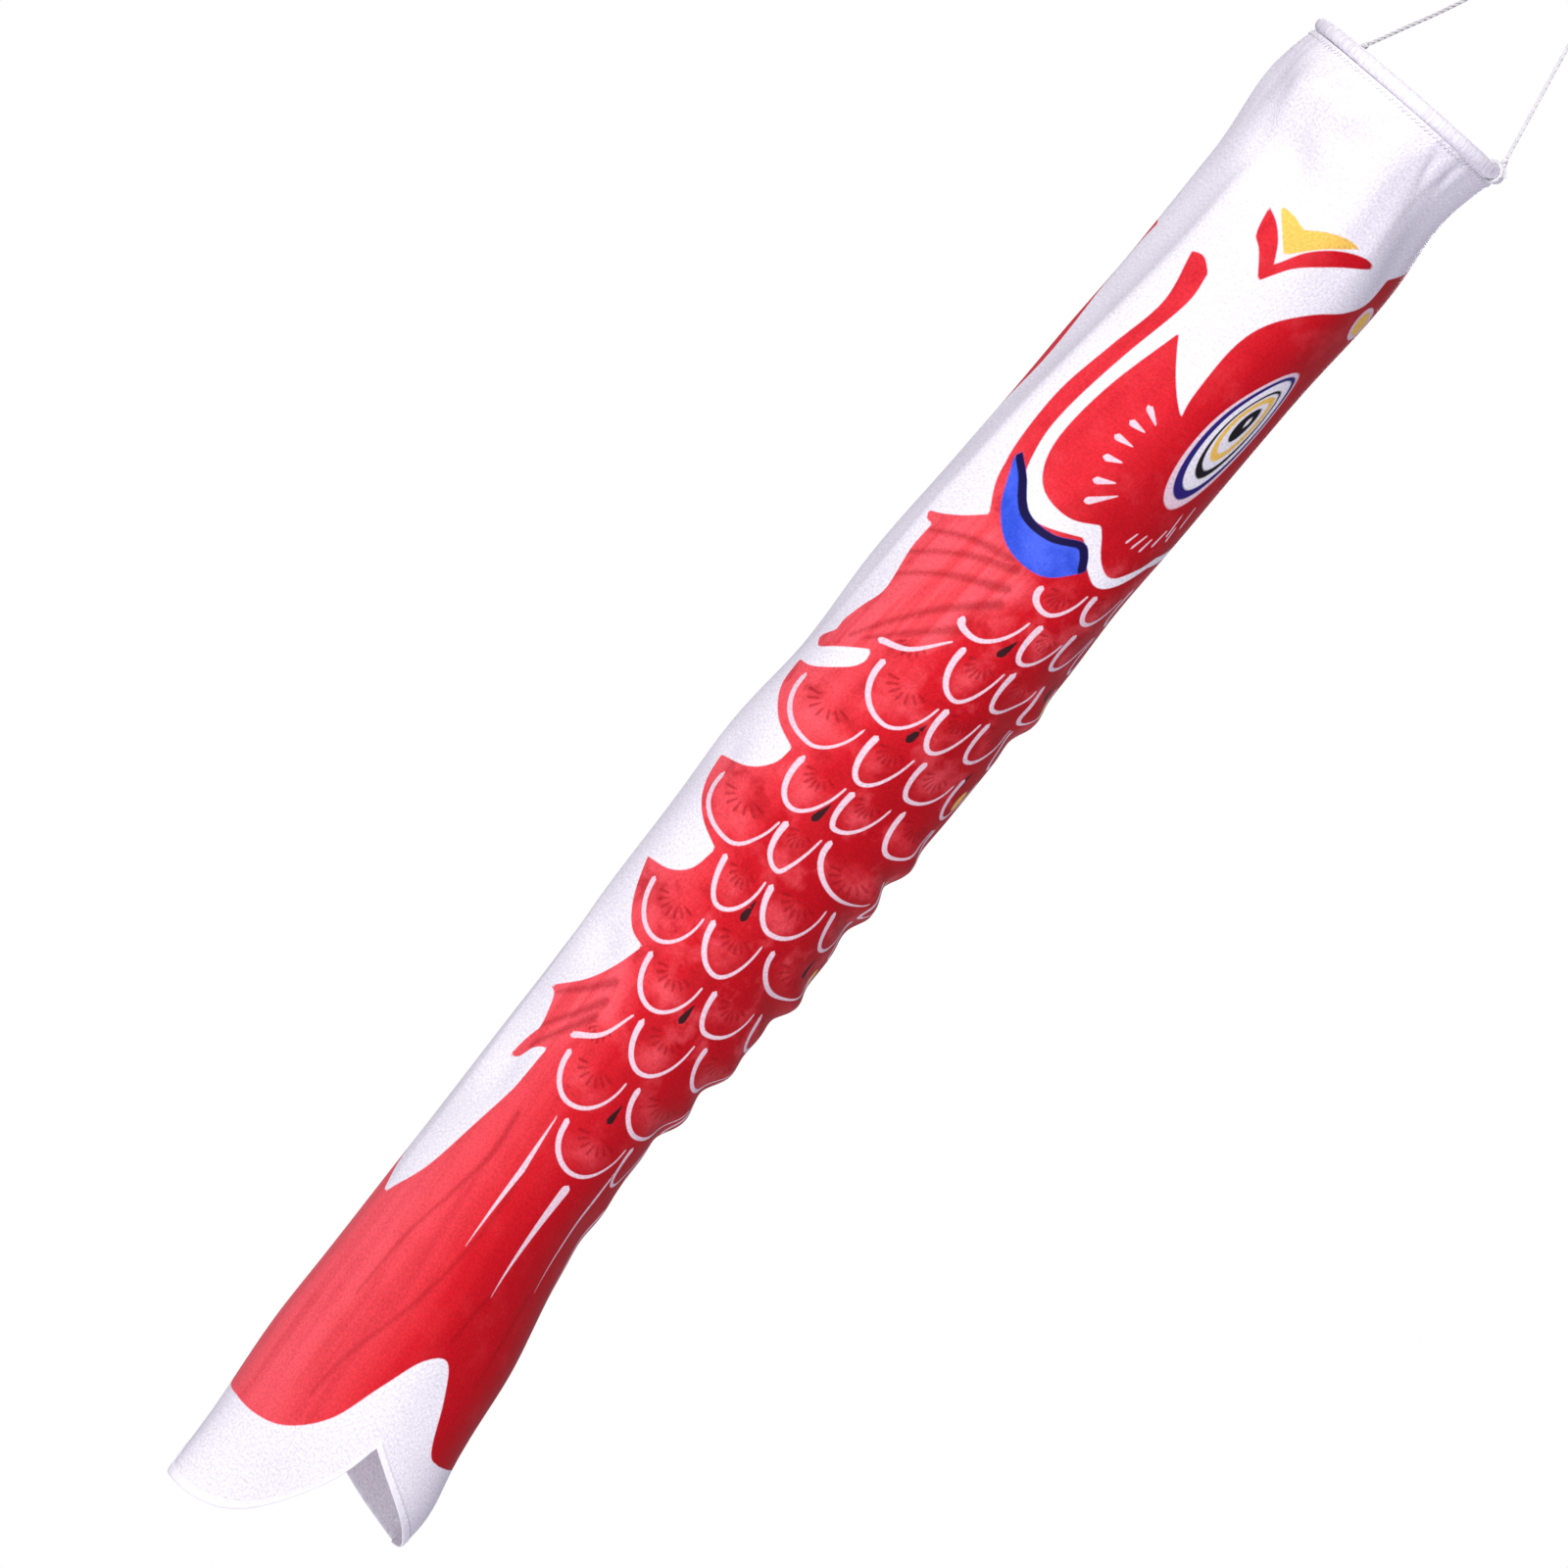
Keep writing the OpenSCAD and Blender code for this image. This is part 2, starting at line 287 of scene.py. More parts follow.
def bump(x, middle, spread):
    """A soft hill, 1 at its middle."""
    return np.exp(-(((x - middle) / spread) ** 2))


def step(x, start, end):
    """0 before the start and 1 past the end, with a soft rise between them."""
    t = np.clip((x - start) / (end - start), 0, 1)
    return t * t * (3 - 2 * t)


def folds_at(side, depth, gathers):
    """How far the cloth stands out, in mm: side is degrees from the belly line, + on the viewer's flank."""
    rng = np.random.default_rng(7)
    out = np.zeros(np.broadcast(side, depth).shape)
    # Slow, uneven swell of hanging cloth, with folds that run along the tube
    for k in range(14):
        waves = int(rng.integers(1, 7))
        length = rng.uniform(70, 260)
        out += 0.30 * rng.uniform(0.5, 1) * np.sin(
            np.radians(side * waves) + depth / length * 2 * np.pi + rng.uniform(0, 6.3))
    out *= step(depth, 3, 45)
    # The cloth lies flat beside the belly, between a crease in front of it and the fold behind it
    crease = np.interp(depth, CREASE_LINE[:, 0], CREASE_LINE[:, 1]) - belly_at(depth)
    fade = step(depth, 6, 26) * (1 - step(depth, 250, 330))
    beyond = crease - side
    narrow = np.clip((90 + np.interp(depth, CREASE_LINE[:, 0], CREASE_LINE[:, 1])) / 50, 0.15, 1)
    out += fade * narrow**2 * smooth_at(FLAT_PART[:, 0], FLAT_PART[:, 1], beyond / narrow)
    out += 1.1 * np.exp(-np.abs(side) / 14) * step(depth, 300, 360) * (1 - 0.6 * step(depth, 520, 600))
    # A second, softer crease along the back
    out += 1.0 * np.exp(-(180 - np.abs(side)) / 12) * step(depth, 8, 60)
    waist = step(depth, 60, 120) * (0.2 + 1.0 * step(np.abs(side), 70, 150))
    out -= waist * (1 - 0.5 * step(depth, 560, 640))
    for height, turn, wide, middle, spread, lean in RIM_SWELLS:
        out += height * bump(side - depth * lean, turn, wide) * bump(depth, middle, spread)
    # Short folds on the back, where the tail swings over
    for middle, spread, height in BACK_FOLDS:
        lean = (np.abs(side) - 150) * 0.22
        out += height * bump(depth - lean, middle, spread) * step(np.abs(side), 118, 158)
        out -= 0.6 * height * bump(depth - lean, middle + 11, spread) * step(np.abs(side), 112, 150)
    for height, turn, wide, middle, spread in TAIL_DENTS:
        out += height * bump(side, turn, wide) * bump(depth, middle, spread)
    # The belly lobe waves at its end
    lobe = step(depth, 650, 700)
    out += 1.0 * lobe * np.sin(np.radians(side * 4.3) + 0.6)
    out += 0.6 * lobe * np.sin(np.radians(side * 9.1) + 2)
    out -= 1.2 * step(depth, 620, 670) + 8.0 * step(depth, 645, 705) * step(side, 5, 50)
    # Gathers that the rim's stitching pulls in
    for k in range(gathers):
        middle = -180 + 360 * (k + rng.uniform(-0.35, 0.35)) / max(gathers, 1)
        spread = rng.uniform(1.2, 3.0)
        length = rng.uniform(5, 26)
        depth_of = rng.uniform(0.3, 1.25)
        lean = rng.uniform(-0.15, 0.15)
        away = (side - middle - lean * depth + 540) % 360 - 180
        pleat = np.exp(-((away / (spread * (1 + depth / 30))) ** 2))
        out -= depth_of * pleat * np.exp(-(depth - 3) / length)
    # The cloth leaves the rim all round at the same width
    return out * (0.35 + 0.65 * step(depth, 2, 14))


# ---------------------------------------------------------------- the print

def curve_through(points, per_span=6):
    """A smooth open line through a few points."""
    p = np.array(points, float)
    if len(p) < 3:
        return p
    ends = np.vstack([2 * p[0] - p[1], p, 2 * p[-1] - p[-2]])
    t = np.linspace(0, 1, per_span, endpoint=False)[:, None]
    line = []
    for k in range(1, len(ends) - 2):
        a, b, c, d = ends[k - 1:k + 3]
        line.append(0.5 * (2 * b + (c - a) * t + (2 * a - 5 * b + 4 * c - d) * t**2
                           + (3 * b - a - 3 * c + d) * t**3))
    return np.vstack(line + [p[-1:]])


def outline(*stretches):
    """A closed outline from smooth stretches that meet at corners, in millimetres of flat cloth."""
    line = np.vstack([curve_through(s) for s in stretches])
    return line * (DEGREE, 1)


def distance_inside(points, loop):
    """Signed distance of flat points from a closed outline: below zero inside."""
    a, b = loop, np.roll(loop, -1, axis=0)
    far = np.full(len(points), 1e9)
    inside = np.zeros(len(points), bool)
    px, py = points[:, 0], points[:, 1]
    for (ax, ay), (bx, by) in zip(a, b):
        ex, ey = bx - ax, by - ay
        size = ex * ex + ey * ey
        if size < 1e-12:
            continue
        t = np.clip(((px - ax) * ex + (py - ay) * ey) / size, 0, 1)
        far = np.minimum(far, (px - ax - t * ex) ** 2 + (py - ay - t * ey) ** 2)
        cross = (ay > py) != (by > py)
        if ay != by:
            inside ^= cross & (px < ax + (py - ay) / (by - ay) * ex)
    return np.where(inside, -1, 1) * np.sqrt(far)


# Two bars that meet on the nose, and the yellow chip between them
NOSE_BARS = outline(
    [(31, 67.5), (39, 70.5), (46, 76), (51.5, 83.5)],
    [(51.5, 83.5), (60, 72.5), (71.6, 65), (87, 60.8), (98.5, 61.7)],
    [(98.5, 61.7), (84, 67), (71.6, 73), (60, 80.5), (50.5, 92)],
    [(50.5, 92), (41, 82.5), (35, 78.5), (31, 67.5)])
NOSE_CHIP = outline(
    [(35, 64.5), (43, 64.5), (52, 66.5)], [(52, 66.5), (62, 61.8), (72, 59.3), (82, 59.2)],
    [(82, 59.2), (76, 62), (65, 68), (52, 78.5)], [(52, 78.5), (43, 71), (35, 64.5)])
WHISKER = outline(
    [(14.5, 98), (21, 119), (15, 144), (8.5, 170), (9, 195), (15, 209), (29, 222)],
    [(29, 222), (40, 214)],
    [(40, 211), (27, 205), (19, 189), (18.5, 172), (24, 144), (31, 115), (29.5, 101)],
    [(29.5, 101), (22, 97), (14.5, 98)])
# The cheek, the brow and the crown are one patch of red, with the gill line below it
HEAD = outline(
    [(37.5, 125), (43, 131), (50.5, 138), (59, 144.5), (67, 149.5)],
    [(67, 149.5), (64.5, 140), (63.7, 117), (70, 102), (85.5, 89), (103, 81), (118, 73), (123, 62)],
    [(123, 62), (135, 58), (155, 52), (181, 50)], [(181, 50), (181, 183)],
    [(181, 183), (150, 184), (118, 197)], [(118, 197), (110, 205), (100, 213), (88, 210.5), (72, 199.5)],
    [(72, 199.5), (55, 204.7), (36, 201), (25.5, 186), (27, 160), (37.5, 125)])
# Degrees, depth and radius of the spot on the crown, and the width of its pale rim
CROWN_SPOT = (129.0, 81.0, 7.5)
SPOT_RIM = 2.2
# Everything below the gill line, with the fins and the scalloped belly edge
BODY = outline(
    [(29, 222), (20, 228), (10, 232.5), (0.5, 235.3)], [(0.5, 235.3), (4, 238.3), (9, 238)],
    [(9, 238), (11, 251), (19, 268), (14.5, 279), (11.4, 287), (13, 292)], [(13, 292), (4, 298)],
    [(4, 298), (12, 301), (24, 296.5), (41, 289)],
    [(41, 289), (43, 294), (38, 300), (22, 307.8), (7, 309.5)],
    [(7, 309.5), (13, 321), (30, 331), (50, 336.4)], [(50, 336.4), (49, 345), (38, 352.5), (13.5, 356)],
    [(13.5, 356), (22, 367), (37, 377.5), (54, 384)], [(54, 384), (48, 395), (36, 401), (17.3, 403)],
    [(17.3, 403), (25.5, 418), (36, 427), (49, 430)], [(49, 430), (42, 441), (30, 453.5), (10, 464)],
    [(10, 464), (17, 466), (22, 475), (22.5, 479)], [(22.5, 479), (16, 487), (11.4, 494.5)],
    [(11.4, 494.5), (20, 492), (28, 485.5), (37, 482)],
    [(37, 482), (31, 510), (19, 544), (1, 564)], [(1, 564), (-9, 570), (-9, 660)],
    [(-9, 660), (20, 660), (40, 655), (58, 641), (70, 621), (80, 604), (92, 599), (104, 612),
     (115, 631), (125, 634)],
    [(125, 634), (181, 634)], [(181, 634), (181, 189)], [(181, 189), (150, 190), (117, 202)],
    [(117, 202), (107, 214), (97, 219), (85, 215.5), (70, 207)],
    [(70, 207), (50, 213), (33, 213), (22, 212), (29, 222)])
GILL = outline(
    [(15, 196), (13.5, 200), (20, 207.5), (30, 217), (45, 226), (60, 229), (74, 227), (86, 217)],
    [(86, 217), (80, 211.5), (72, 208.5), (58, 213), (42, 212), (26, 202), (15, 196)])
GILL_EDGE = curve_through([
    (15, 196), (26, 202), (42, 212), (58, 213), (72, 208.5), (80, 211.5), (86, 217)]) * (DEGREE, 1)
GILL_EDGE_WIDTH = 3.2
PECTORAL = outline(
    [(29, 222), (10, 232.5), (0, 235.3)], [(0, 235.3), (9, 238), (12, 251), (19, 268), (13, 286), (4, 298)],
    [(4, 298), (24, 297), (45, 284)], [(45, 284), (64, 270), (62, 256), (76, 238), (60, 229), (29, 222)])
VENTRAL = outline(
    [(44, 436), (30, 453.5), (10, 464)], [(10, 464), (22, 476), (11.4, 494.5)], [(11.4, 494.5), (38, 481)],
    [(38, 481), (52, 466), (57, 448), (44, 436)])

# Eye rings from the outside in: ink, top and bottom (degrees, depth), left and right sides (degrees)
EYE_RINGS = [
    ("line", (108, 109.7), (97.5, 179.3), 81.3, 118), ("navy", (108, 111.6), (98, 174.6), 83.5, 116.6),
    ("white", (107.2, 113.8), (98.4, 169.6), 86.5, 115),
    ("black", (106.5, 118.8), (100, 163.8), 89.3, 112.6),
    ("white", (106.3, 120.4), (100, 159.6), 90.8, 111.2), ("yellow", (106, 122), (100, 155.3), 91.8, 110.2),
    ("white", (105, 125.2), (100, 151.4), 94.4, 107.6),
    ("black", (103.4, 128.2), (100.4, 145.9), 96.6, 105.6),
    ("white", (102.4, 132.6), (101.6, 138.4), 100.6, 103.2),
]

# Pale strokes of the scales: left end, lowest point, right end
SCALES = [
    ((76, 232), (87, 238.5), (97.5, 224)), ((102, 223), (110, 233), (122, 217)),
    ((62, 259), (72, 262), (86, 245)), ((92, 244), (100, 259), (110.5, 244)),
    ((113, 239), (121, 254), (135, 236)),
    ((41, 284), (55, 280), (67, 268)), ((74, 268), (89, 285), (98.5, 266)),
    ((103, 264), (111, 279.5), (125.5, 264)),
    ((50, 290), (73, 308), (87, 291)), ((91, 290), (101, 306), (112, 286)),
    ((117, 285), (126, 301), (141, 282)),
    ((22, 313), (54, 331), (69, 314)), ((76, 314), (87, 331), (98.5, 312)),
    ((105, 311), (115, 325.5), (134, 311)),
    ((58, 337), (72, 354), (84.5, 336)), ((89, 336), (96, 350.5), (112, 332)),
    ((120, 331), (133, 347), (150, 330)),
    ((29, 361), (57, 378.5), (73, 361)), ((76, 360), (88, 376), (95.5, 357)),
    ((100, 356), (127, 371), (147, 366)),
    ((61, 384), (72, 400), (86.5, 382)), ((90.5, 382), (103, 396.5), (125, 377)),
    ((132, 377), (144, 391), (160, 376)),
    ((31, 408), (52, 424.5), (69.5, 407)), ((75, 406), (91, 421.5), (104, 402)),
    ((112, 402), (135, 415), (160, 402)),
    ((56, 430), (73, 446), (90, 428)), ((98, 427), (109, 441.5), (130, 425)),
    ((138, 425), (150, 439), (166, 424)),
    ((46, 472), (60, 465), (68, 452)), ((74, 452), (90, 468), (108, 448)),
    ((116, 447), (132, 462), (152, 446)),
    ((50, 478), (66, 493), (87.5, 474)), ((96, 474), (115, 489), (142, 470)),
    ((71, 499), (92, 514), (115, 495)),
]
# The pattern goes on round the back: left ends of more scales of one size
BACK_SCALES = [
    (126, 213), (150, 211), (139, 236), (163, 234), (130, 262), (155, 260), (145, 283), (168, 281),
    (138, 308), (162, 306), (153, 330), (151, 357), (163, 377), (165, 402), (168, 424), (156, 446),
    (146, 468), (170, 466), (120, 494), (146, 492),
]
# Short pale drops on the cheek: blunt end to point
CHEEK_DROPS = [
    ((52, 154), (60, 157.5)), ((50, 162), (58, 162)), ((49, 169.5), (57.5, 169)), ((51.5, 178), (59, 176)),
    ((55, 187), (63, 183.5)), ((58, 195), (68, 187)),
]
# Short pale dashes above the gill line
GILL_DASHES = [
    ((90.5, 199), (93, 193.5)), ((95.5, 199.5), (99, 192)), ((101.5, 198.5), (103.5, 192)),
    ((107, 194.5), (109, 186)),
    ((112, 188), (111, 178)), ((114.5, 190), (113.8, 183)), ((118, 183), (117, 173)),
]
# Pale wedges of the tail: points and the half width where they are widest
TAIL_WEDGES = [
    ([(64.5, 499), (67.5, 524), (66, 560)], 1.25), ([(96.5, 520.5), (95, 570)], 2.1),
    ([(120.5, 493), (124, 520), (126, 560)], 1.0), ([(152, 522), (151, 562)], 1.7),
]
# Yellow chips on the back and their radius, and the dark drops of the scales
CHIP_R = 2.6
BACK_CHIPS = [(152, 268), (153, 315), (160, 360), (164, 403), (161, 446)]
DROPS = [
    (89, 258), (88.5, 304), (85, 349), (87, 395), (92, 440), (93, 487), (142, 262), (139, 308), (146, 400),
]
# Dark streaks of the tail and of the fins
TAIL_STREAKS = [
    [(46, 508), (48, 525), (43, 545), (34, 572), (30, 600)],
    [(68, 520), (70, 550), (62, 580), (48, 615), (42, 640)],
    [(94, 570), (90, 580), (87, 592)], [(122, 562), (118, 585), (117, 602)],
    [(150, 560), (148, 590), (146, 615)],
]
FIN_STREAKS = [
    [(60, 232), (38, 239), (12, 252)], [(64, 240), (40, 249), (16, 262)], [(68, 246), (50, 262), (25, 290)],
    [(54, 230), (34, 233), (10, 241)], [(66, 262), (48, 276), (34, 287)], [(48, 447), (34, 456), (18, 464)],
    [(50, 455), (38, 466), (22, 478)], [(50, 462), (38, 474), (24, 486)],
]


# Faces farther than this from a stroke don't carry it, and the distance that a face with none is given
STROKE_REACH = 7
NO_STROKE = 9.0


class Stroke:
    """A line of printed colour with a half width at each end, and a share of black in its colour."""

    def __init__(self, points, start, end, tint=0.0):
        self.line = curve_through(points, 5) * (DEGREE, 1)
        self.start, self.end, self.tint = start, end, tint
        parts = np.linalg.norm(np.diff(self.line, axis=0), axis=1)
        self.before = np.concatenate([[0], np.cumsum(parts)])

    def measure(self, points):
        """Signed distance across the stroke and its half width there, which is below zero past its ends."""
        best = np.full(len(points), 1e9)
        across, along, over = (np.zeros(len(points)) for _ in range(3))
        last = len(self.line) - 2
        for k in range(last + 1):
            a, edge = self.line[k], self.line[k + 1] - self.line[k]
            size = np.linalg.norm(edge)
            if size < 1e-9:
                continue
            e = edge / size
            t = (points - a) @ e
            side = (points[:, 0] - a[0]) * e[1] - (points[:, 1] - a[1]) * e[0]
            past = np.maximum(np.maximum(-t, t - size), 0)
            far = np.hypot(side, past)
            near = far < best
            best[near] = far[near]
            across[near] = side[near]
            along[near] = self.before[k] + np.clip(t[near], 0, size)
            at_end = (t < 0) if k == 0 else ((t > size) if k == last else np.zeros(len(points), bool))
            if k == 0 and last == 0:
                at_end = (t < 0) | (t > size)
            over[near] = np.where(at_end[near], past[near], 0)
            inner = near & ~at_end & (past > 0)
            across[inner] = (np.where(side < 0, -1, 1) * far)[inner]
        share = along / self.before[-1]
        half = self.start + (self.end - self.start) * share
        half = np.where(over < half, np.sqrt(np.maximum(half**2 - over**2, 0)), half - over)
        return across, half


def scale_arc(left, low, right):
    """A round U from its left end by its lowest point to its right end: two quarters of ellipses."""
    a = np.radians(np.arange(0, 91, 15))
    down = [(low[0] - (low[0] - left[0]) * math.cos(t),
             left[1] + (low[1] - left[1]) * math.sin(t)) for t in a]
    up = [(low[0] + (right[0] - low[0]) * math.sin(t),
           right[1] + (low[1] - right[1]) * math.cos(t)) for t in a[1:]]
    return down + up


def print_strokes():
    """The pale lines and the dark marks of the print."""
    pale = [Stroke(scale_arc(*s) if s[1][1] > s[0][1] + 2 else s, 1.3, 0.4) for s in SCALES]
    for x, y in BACK_SCALES:
        pale.append(Stroke(scale_arc((x, y), (x + 11, y + 16), (x + 23, y - 2)), 1.2, 0.4))
    pale += [Stroke(d, 1.45, 0.25) for d in CHEEK_DROPS]
    pale += [Stroke(d, 0.5, 0.3) for d in GILL_DASHES]
    pale += [Stroke(points[:-1], 0.15, half) for points, half in TAIL_WEDGES if len(points) > 2]
    pale += [Stroke(points[-2:], half, 0.05) for points, half in TAIL_WEDGES]
    dark = []
    for a, b, c in SCALES:
        if b[1] < 270 and b[0] < 75:
            continue
        width = max(c[0] - a[0], 12)
        foot = np.array([(a[0] + c[0]) / 2, (a[1] + c[1]) / 2 - 0.5])
        for k in range(7):
            turn = math.radians(165 - 150 * k / 6)
            reach = np.array([math.cos(turn) * width * 0.27, math.sin(turn) * 6.6])
            dark.append(Stroke([foot + reach * 0.58, foot + reach * 1.14], 0.35, 0.8, 0.0))
    for x, y in DROPS:
        dark.append(Stroke([(x + 0.4, y - 5.5), (x, y - 1)], 0.15, 1.1, 1.0))
        dark.append(Stroke([(x, y - 1), (x - 0.4, y + 2.2)], 1.2, 1.7, 1.0))
    dark += [Stroke(s, 0.9, 0.2, 0.5) for s in TAIL_STREAKS]
    dark += [Stroke(s, 2.0, 0.7, 0.5) for s in FIN_STREAKS]
    return pale, dark


def scale_glow(flat):
    """Distance from the middle of the nearest scale, where 1 is its rim: the red is lighter there."""
    glow = []
    for (left, _), (_, low), (right, _) in SCALES:
        across = (flat[:, 0] / DEGREE - (left + right) / 2) / (0.46 * (right - left))
        glow.append(np.hypot(across, (flat[:, 1] - low + 8.5) / 8.0))
    return np.min(glow, axis=0)


def eye_fields(flat):
    """Distance from each ring of the eye, in millimetres: below zero inside it."""
    x, y = flat[:, 0] / DEGREE, flat[:, 1]
    fields = {}
    for k, (_, top, bottom, left, right) in enumerate(EYE_RINGS):
        middle_y, tall = (top[1] + bottom[1]) / 2, (bottom[1] - top[1]) / 2
        axis = top[0] + (bottom[0] - top[0]) * (y - top[1]) / (bottom[1] - top[1])
        middle_x = (top[0] + bottom[0]) / 2
        half = np.where(x < axis, middle_x - left, right - middle_x)
        # The upper half narrows to a point
        point = 1 + 0.22 * np.clip((middle_y - y) / tall, 0, 1.2) ** 2
        reach = np.sqrt(((x - axis) * point / half) ** 2 + ((y - middle_y) / tall) ** 2)
        fields[f"eye_{k}"] = (reach - 1) * np.minimum(half * DEGREE, tall)
    return fields


def drawn_place(side, depth):
    """Where a point of the cloth lies on the drawing: degrees round the flank and depth in millimetres."""
    turn = belly_at(depth) - np.interp(depth, PRINT_LINE[:, 0], PRINT_LINE[:, 1])
    flank = np.abs(side)
    return flank + turn * (1 - step(flank, 150, 180)), depth + PRINT_RISE * (1 - depth / BELLY_LOBE)


def print_fields(side, depth):
    """Fields of the print at each point of the cloth, in millimetres: below zero inside each outline."""
    flank, down = drawn_place(side, depth)
    flat = np.stack([flank.ravel() * DEGREE, down.ravel()], axis=1)
    shape = side.shape
    bars, head, body = (distance_inside(flat, o) for o in (NOSE_BARS, HEAD, BODY))
    whisker = distance_inside(flat, WHISKER)
    gill = distance_inside(flat, GILL)
    gill_edge = np.min([np.hypot(*(flat - p).T) for p in curve_through(GILL_EDGE, 3)], axis=0)
    spot = np.hypot(flat[:, 0] - CROWN_SPOT[0] * DEGREE, flat[:, 1] - CROWN_SPOT[1])
    fins = np.minimum(distance_inside(flat, PECTORAL), distance_inside(flat, VENTRAL))
    fields = {
        "red": np.minimum.reduce([bars, whisker, head, body]),
        "yellow": np.minimum(distance_inside(flat, NOSE_CHIP), spot - CROWN_SPOT[2] + SPOT_RIM),
        "spot": spot - CROWN_SPOT[2],
        "blue": gill,
        "navy": np.maximum(gill, gill_edge - GILL_EDGE_WIDTH),
        "fin": fins,
        "chips": np.minimum.reduce([
            np.hypot((flat[:, 0] - x * DEGREE) * 0.9, (flat[:, 1] - y) * 0.55) - CHIP_R
            for x, y in BACK_CHIPS]),
        "flank": flat[:, 0] / DEGREE,
        "glow": scale_glow(flat),
        **eye_fields(flat),
    }
    return {name: field.reshape(shape) for name, field in fields.items()}


def stroke_fields(strokes, side, depth):
    """For each face, the stroke nearest to it, measured at its four corners."""
    x, y = drawn_place(side, depth)
    x = x * DEGREE
    corners = [(slice(0, -1), slice(0, -1)), (slice(0, -1), slice(1, None)),
               (slice(1, None), slice(1, None)), (slice(1, None), slice(0, -1))]
    flat = np.stack([np.stack([x[c], y[c]], axis=-1) for c in corners], axis=2)
    rows, columns = flat.shape[:2]
    flat = flat.reshape(-1, 4, 2)
    middle = flat.mean(axis=1)
    nearest = np.full(len(middle), 1e9)
    chosen = np.full(len(middle), -1)
    for k, stroke in enumerate(strokes):
        low, high = stroke.line.min(0) - STROKE_REACH, stroke.line.max(0) + STROKE_REACH
        close = np.where(((middle > low) & (middle < high)).all(axis=1))[0]
        if not len(close):
            continue
        across, half = stroke.measure(middle[close])
        far = np.abs(across) - half
        better = far < nearest[close]
        nearest[close[better]] = far[better]
        chosen[close[better]] = k
    across = np.full((len(flat), 4), NO_STROKE)
    half, tint = np.zeros((len(flat), 4)), np.zeros((len(flat), 4))
    for k, stroke in enumerate(strokes):
        faces = np.where(chosen == k)[0]
        if not len(faces):
            continue
        a, h = stroke.measure(flat[faces].reshape(-1, 2))
        across[faces], half[faces], tint[faces] = a.reshape(-1, 4), h.reshape(-1, 4), stroke.tint
    return [f.reshape(rows, columns, 4) for f in (across, half, tint)]


# ---------------------------------------------------------------- mesh helpers

def clean_selection():
    """Nothing selected, so that an operator acts only on what is made next."""
    if bpy.context.object and bpy.context.object.mode != "OBJECT":
        bpy.ops.object.mode_set(mode="OBJECT")
    bpy.ops.object.select_all(action="DESELECT")


def new_mesh(name, points, faces, material=None):
    mesh = bpy.data.meshes.new(name)
    mesh.from_pydata(points.reshape(-1, 3).tolist(), [], faces)
    mesh.update()
    obj = bpy.data.objects.new(name, mesh)
    bpy.context.scene.collection.objects.link(obj)
    if material:
        mesh.materials.append(material)
    mesh.shade_smooth()
    return obj


def ring_faces(count, sides, closed, turned=False):
    """Faces that join each ring of points to the next, with a cap at each end of an open row of rings."""
    faces = []
    for k in range(count if closed else count - 1):
        first, second = k * sides, (k + 1) % count * sides
        for j in range(sides):
            n = (j + 1) % sides
            if turned:
                faces.append((first + j, second + j, second + n, first + n))
            else:
                faces.append((first + j, first + n, second + n, second + j))
    if not closed:
        faces.append(tuple(range(sides - 1, -1, -1)))
        faces.append(tuple((count - 1) * sides + j for j in range(sides)))
    return faces


def swept(path, radii, sides, closed=False):
    """Rings of points round a path, and the faces that join them: one radius, or one for each point."""
    path = np.asarray(path, float)
    count = len(path)
    ahead = np.roll(path, -1, axis=0) - np.roll(path, 1, axis=0)
    if not closed:
        ahead[0], ahead[-1] = path[1] - path[0], path[-1] - path[-2]
    ahead /= np.linalg.norm(ahead, axis=1)[:, None]
    side = np.zeros_like(path)
    first = np.cross(ahead[0], (0.31, 0.77, 0.55))
    side[0] = first / np.linalg.norm(first)
    for k in range(1, count):
        s = side[k - 1] - ahead[k] * (side[k - 1] @ ahead[k])
        side[k] = s / np.linalg.norm(s)
    if closed:
        end = side[-1] - ahead[0] * (side[-1] @ ahead[0])
        end /= np.linalg.norm(end)
        twist = math.atan2(np.cross(side[0], end) @ ahead[0], side[0] @ end)
        for k in range(count):
            angle = -twist * k / count
            side[k] = side[k] * math.cos(angle) + np.cross(ahead[k], side[k]) * math.sin(angle)
    other = np.cross(ahead, side)
    turn = np.arange(sides) * 2 * np.pi / sides
    radii = np.broadcast_to(np.asarray(radii, float), (count,))
    rings = path[:, None] + radii[:, None, None] * (
        side[:, None] * np.cos(turn)[None, :, None] + other[:, None] * np.sin(turn)[None, :, None])
    return rings.reshape(-1, 3), ring_faces(count, sides, closed), side, other


def resampled(path, gap, closed=False):
    """A smooth path through the points, with points a set gap apart."""
    path = np.asarray(path, float)
    if closed:
        path = np.vstack([path, path[:1]])
    else:
        path = curve_through(path, 4)
    far = np.concatenate([[0], np.cumsum(np.linalg.norm(np.diff(path, axis=0), axis=1))])
    count = max(int(round(far[-1] / gap)), 4)
    at = np.linspace(0, far[-1], count + 1)
    new = np.stack([np.interp(at, far, path[:, c]) for c in range(3)], axis=1)
    return new[:-1] if closed else new


def joined(parts):
    """One list of points and faces from several."""
    points, faces, base = [], [], 0
    for p, f in parts:
        points.append(p)
        faces += [tuple(base + i for i in face) for face in f]
        base += len(p)
    return np.vstack(points), faces


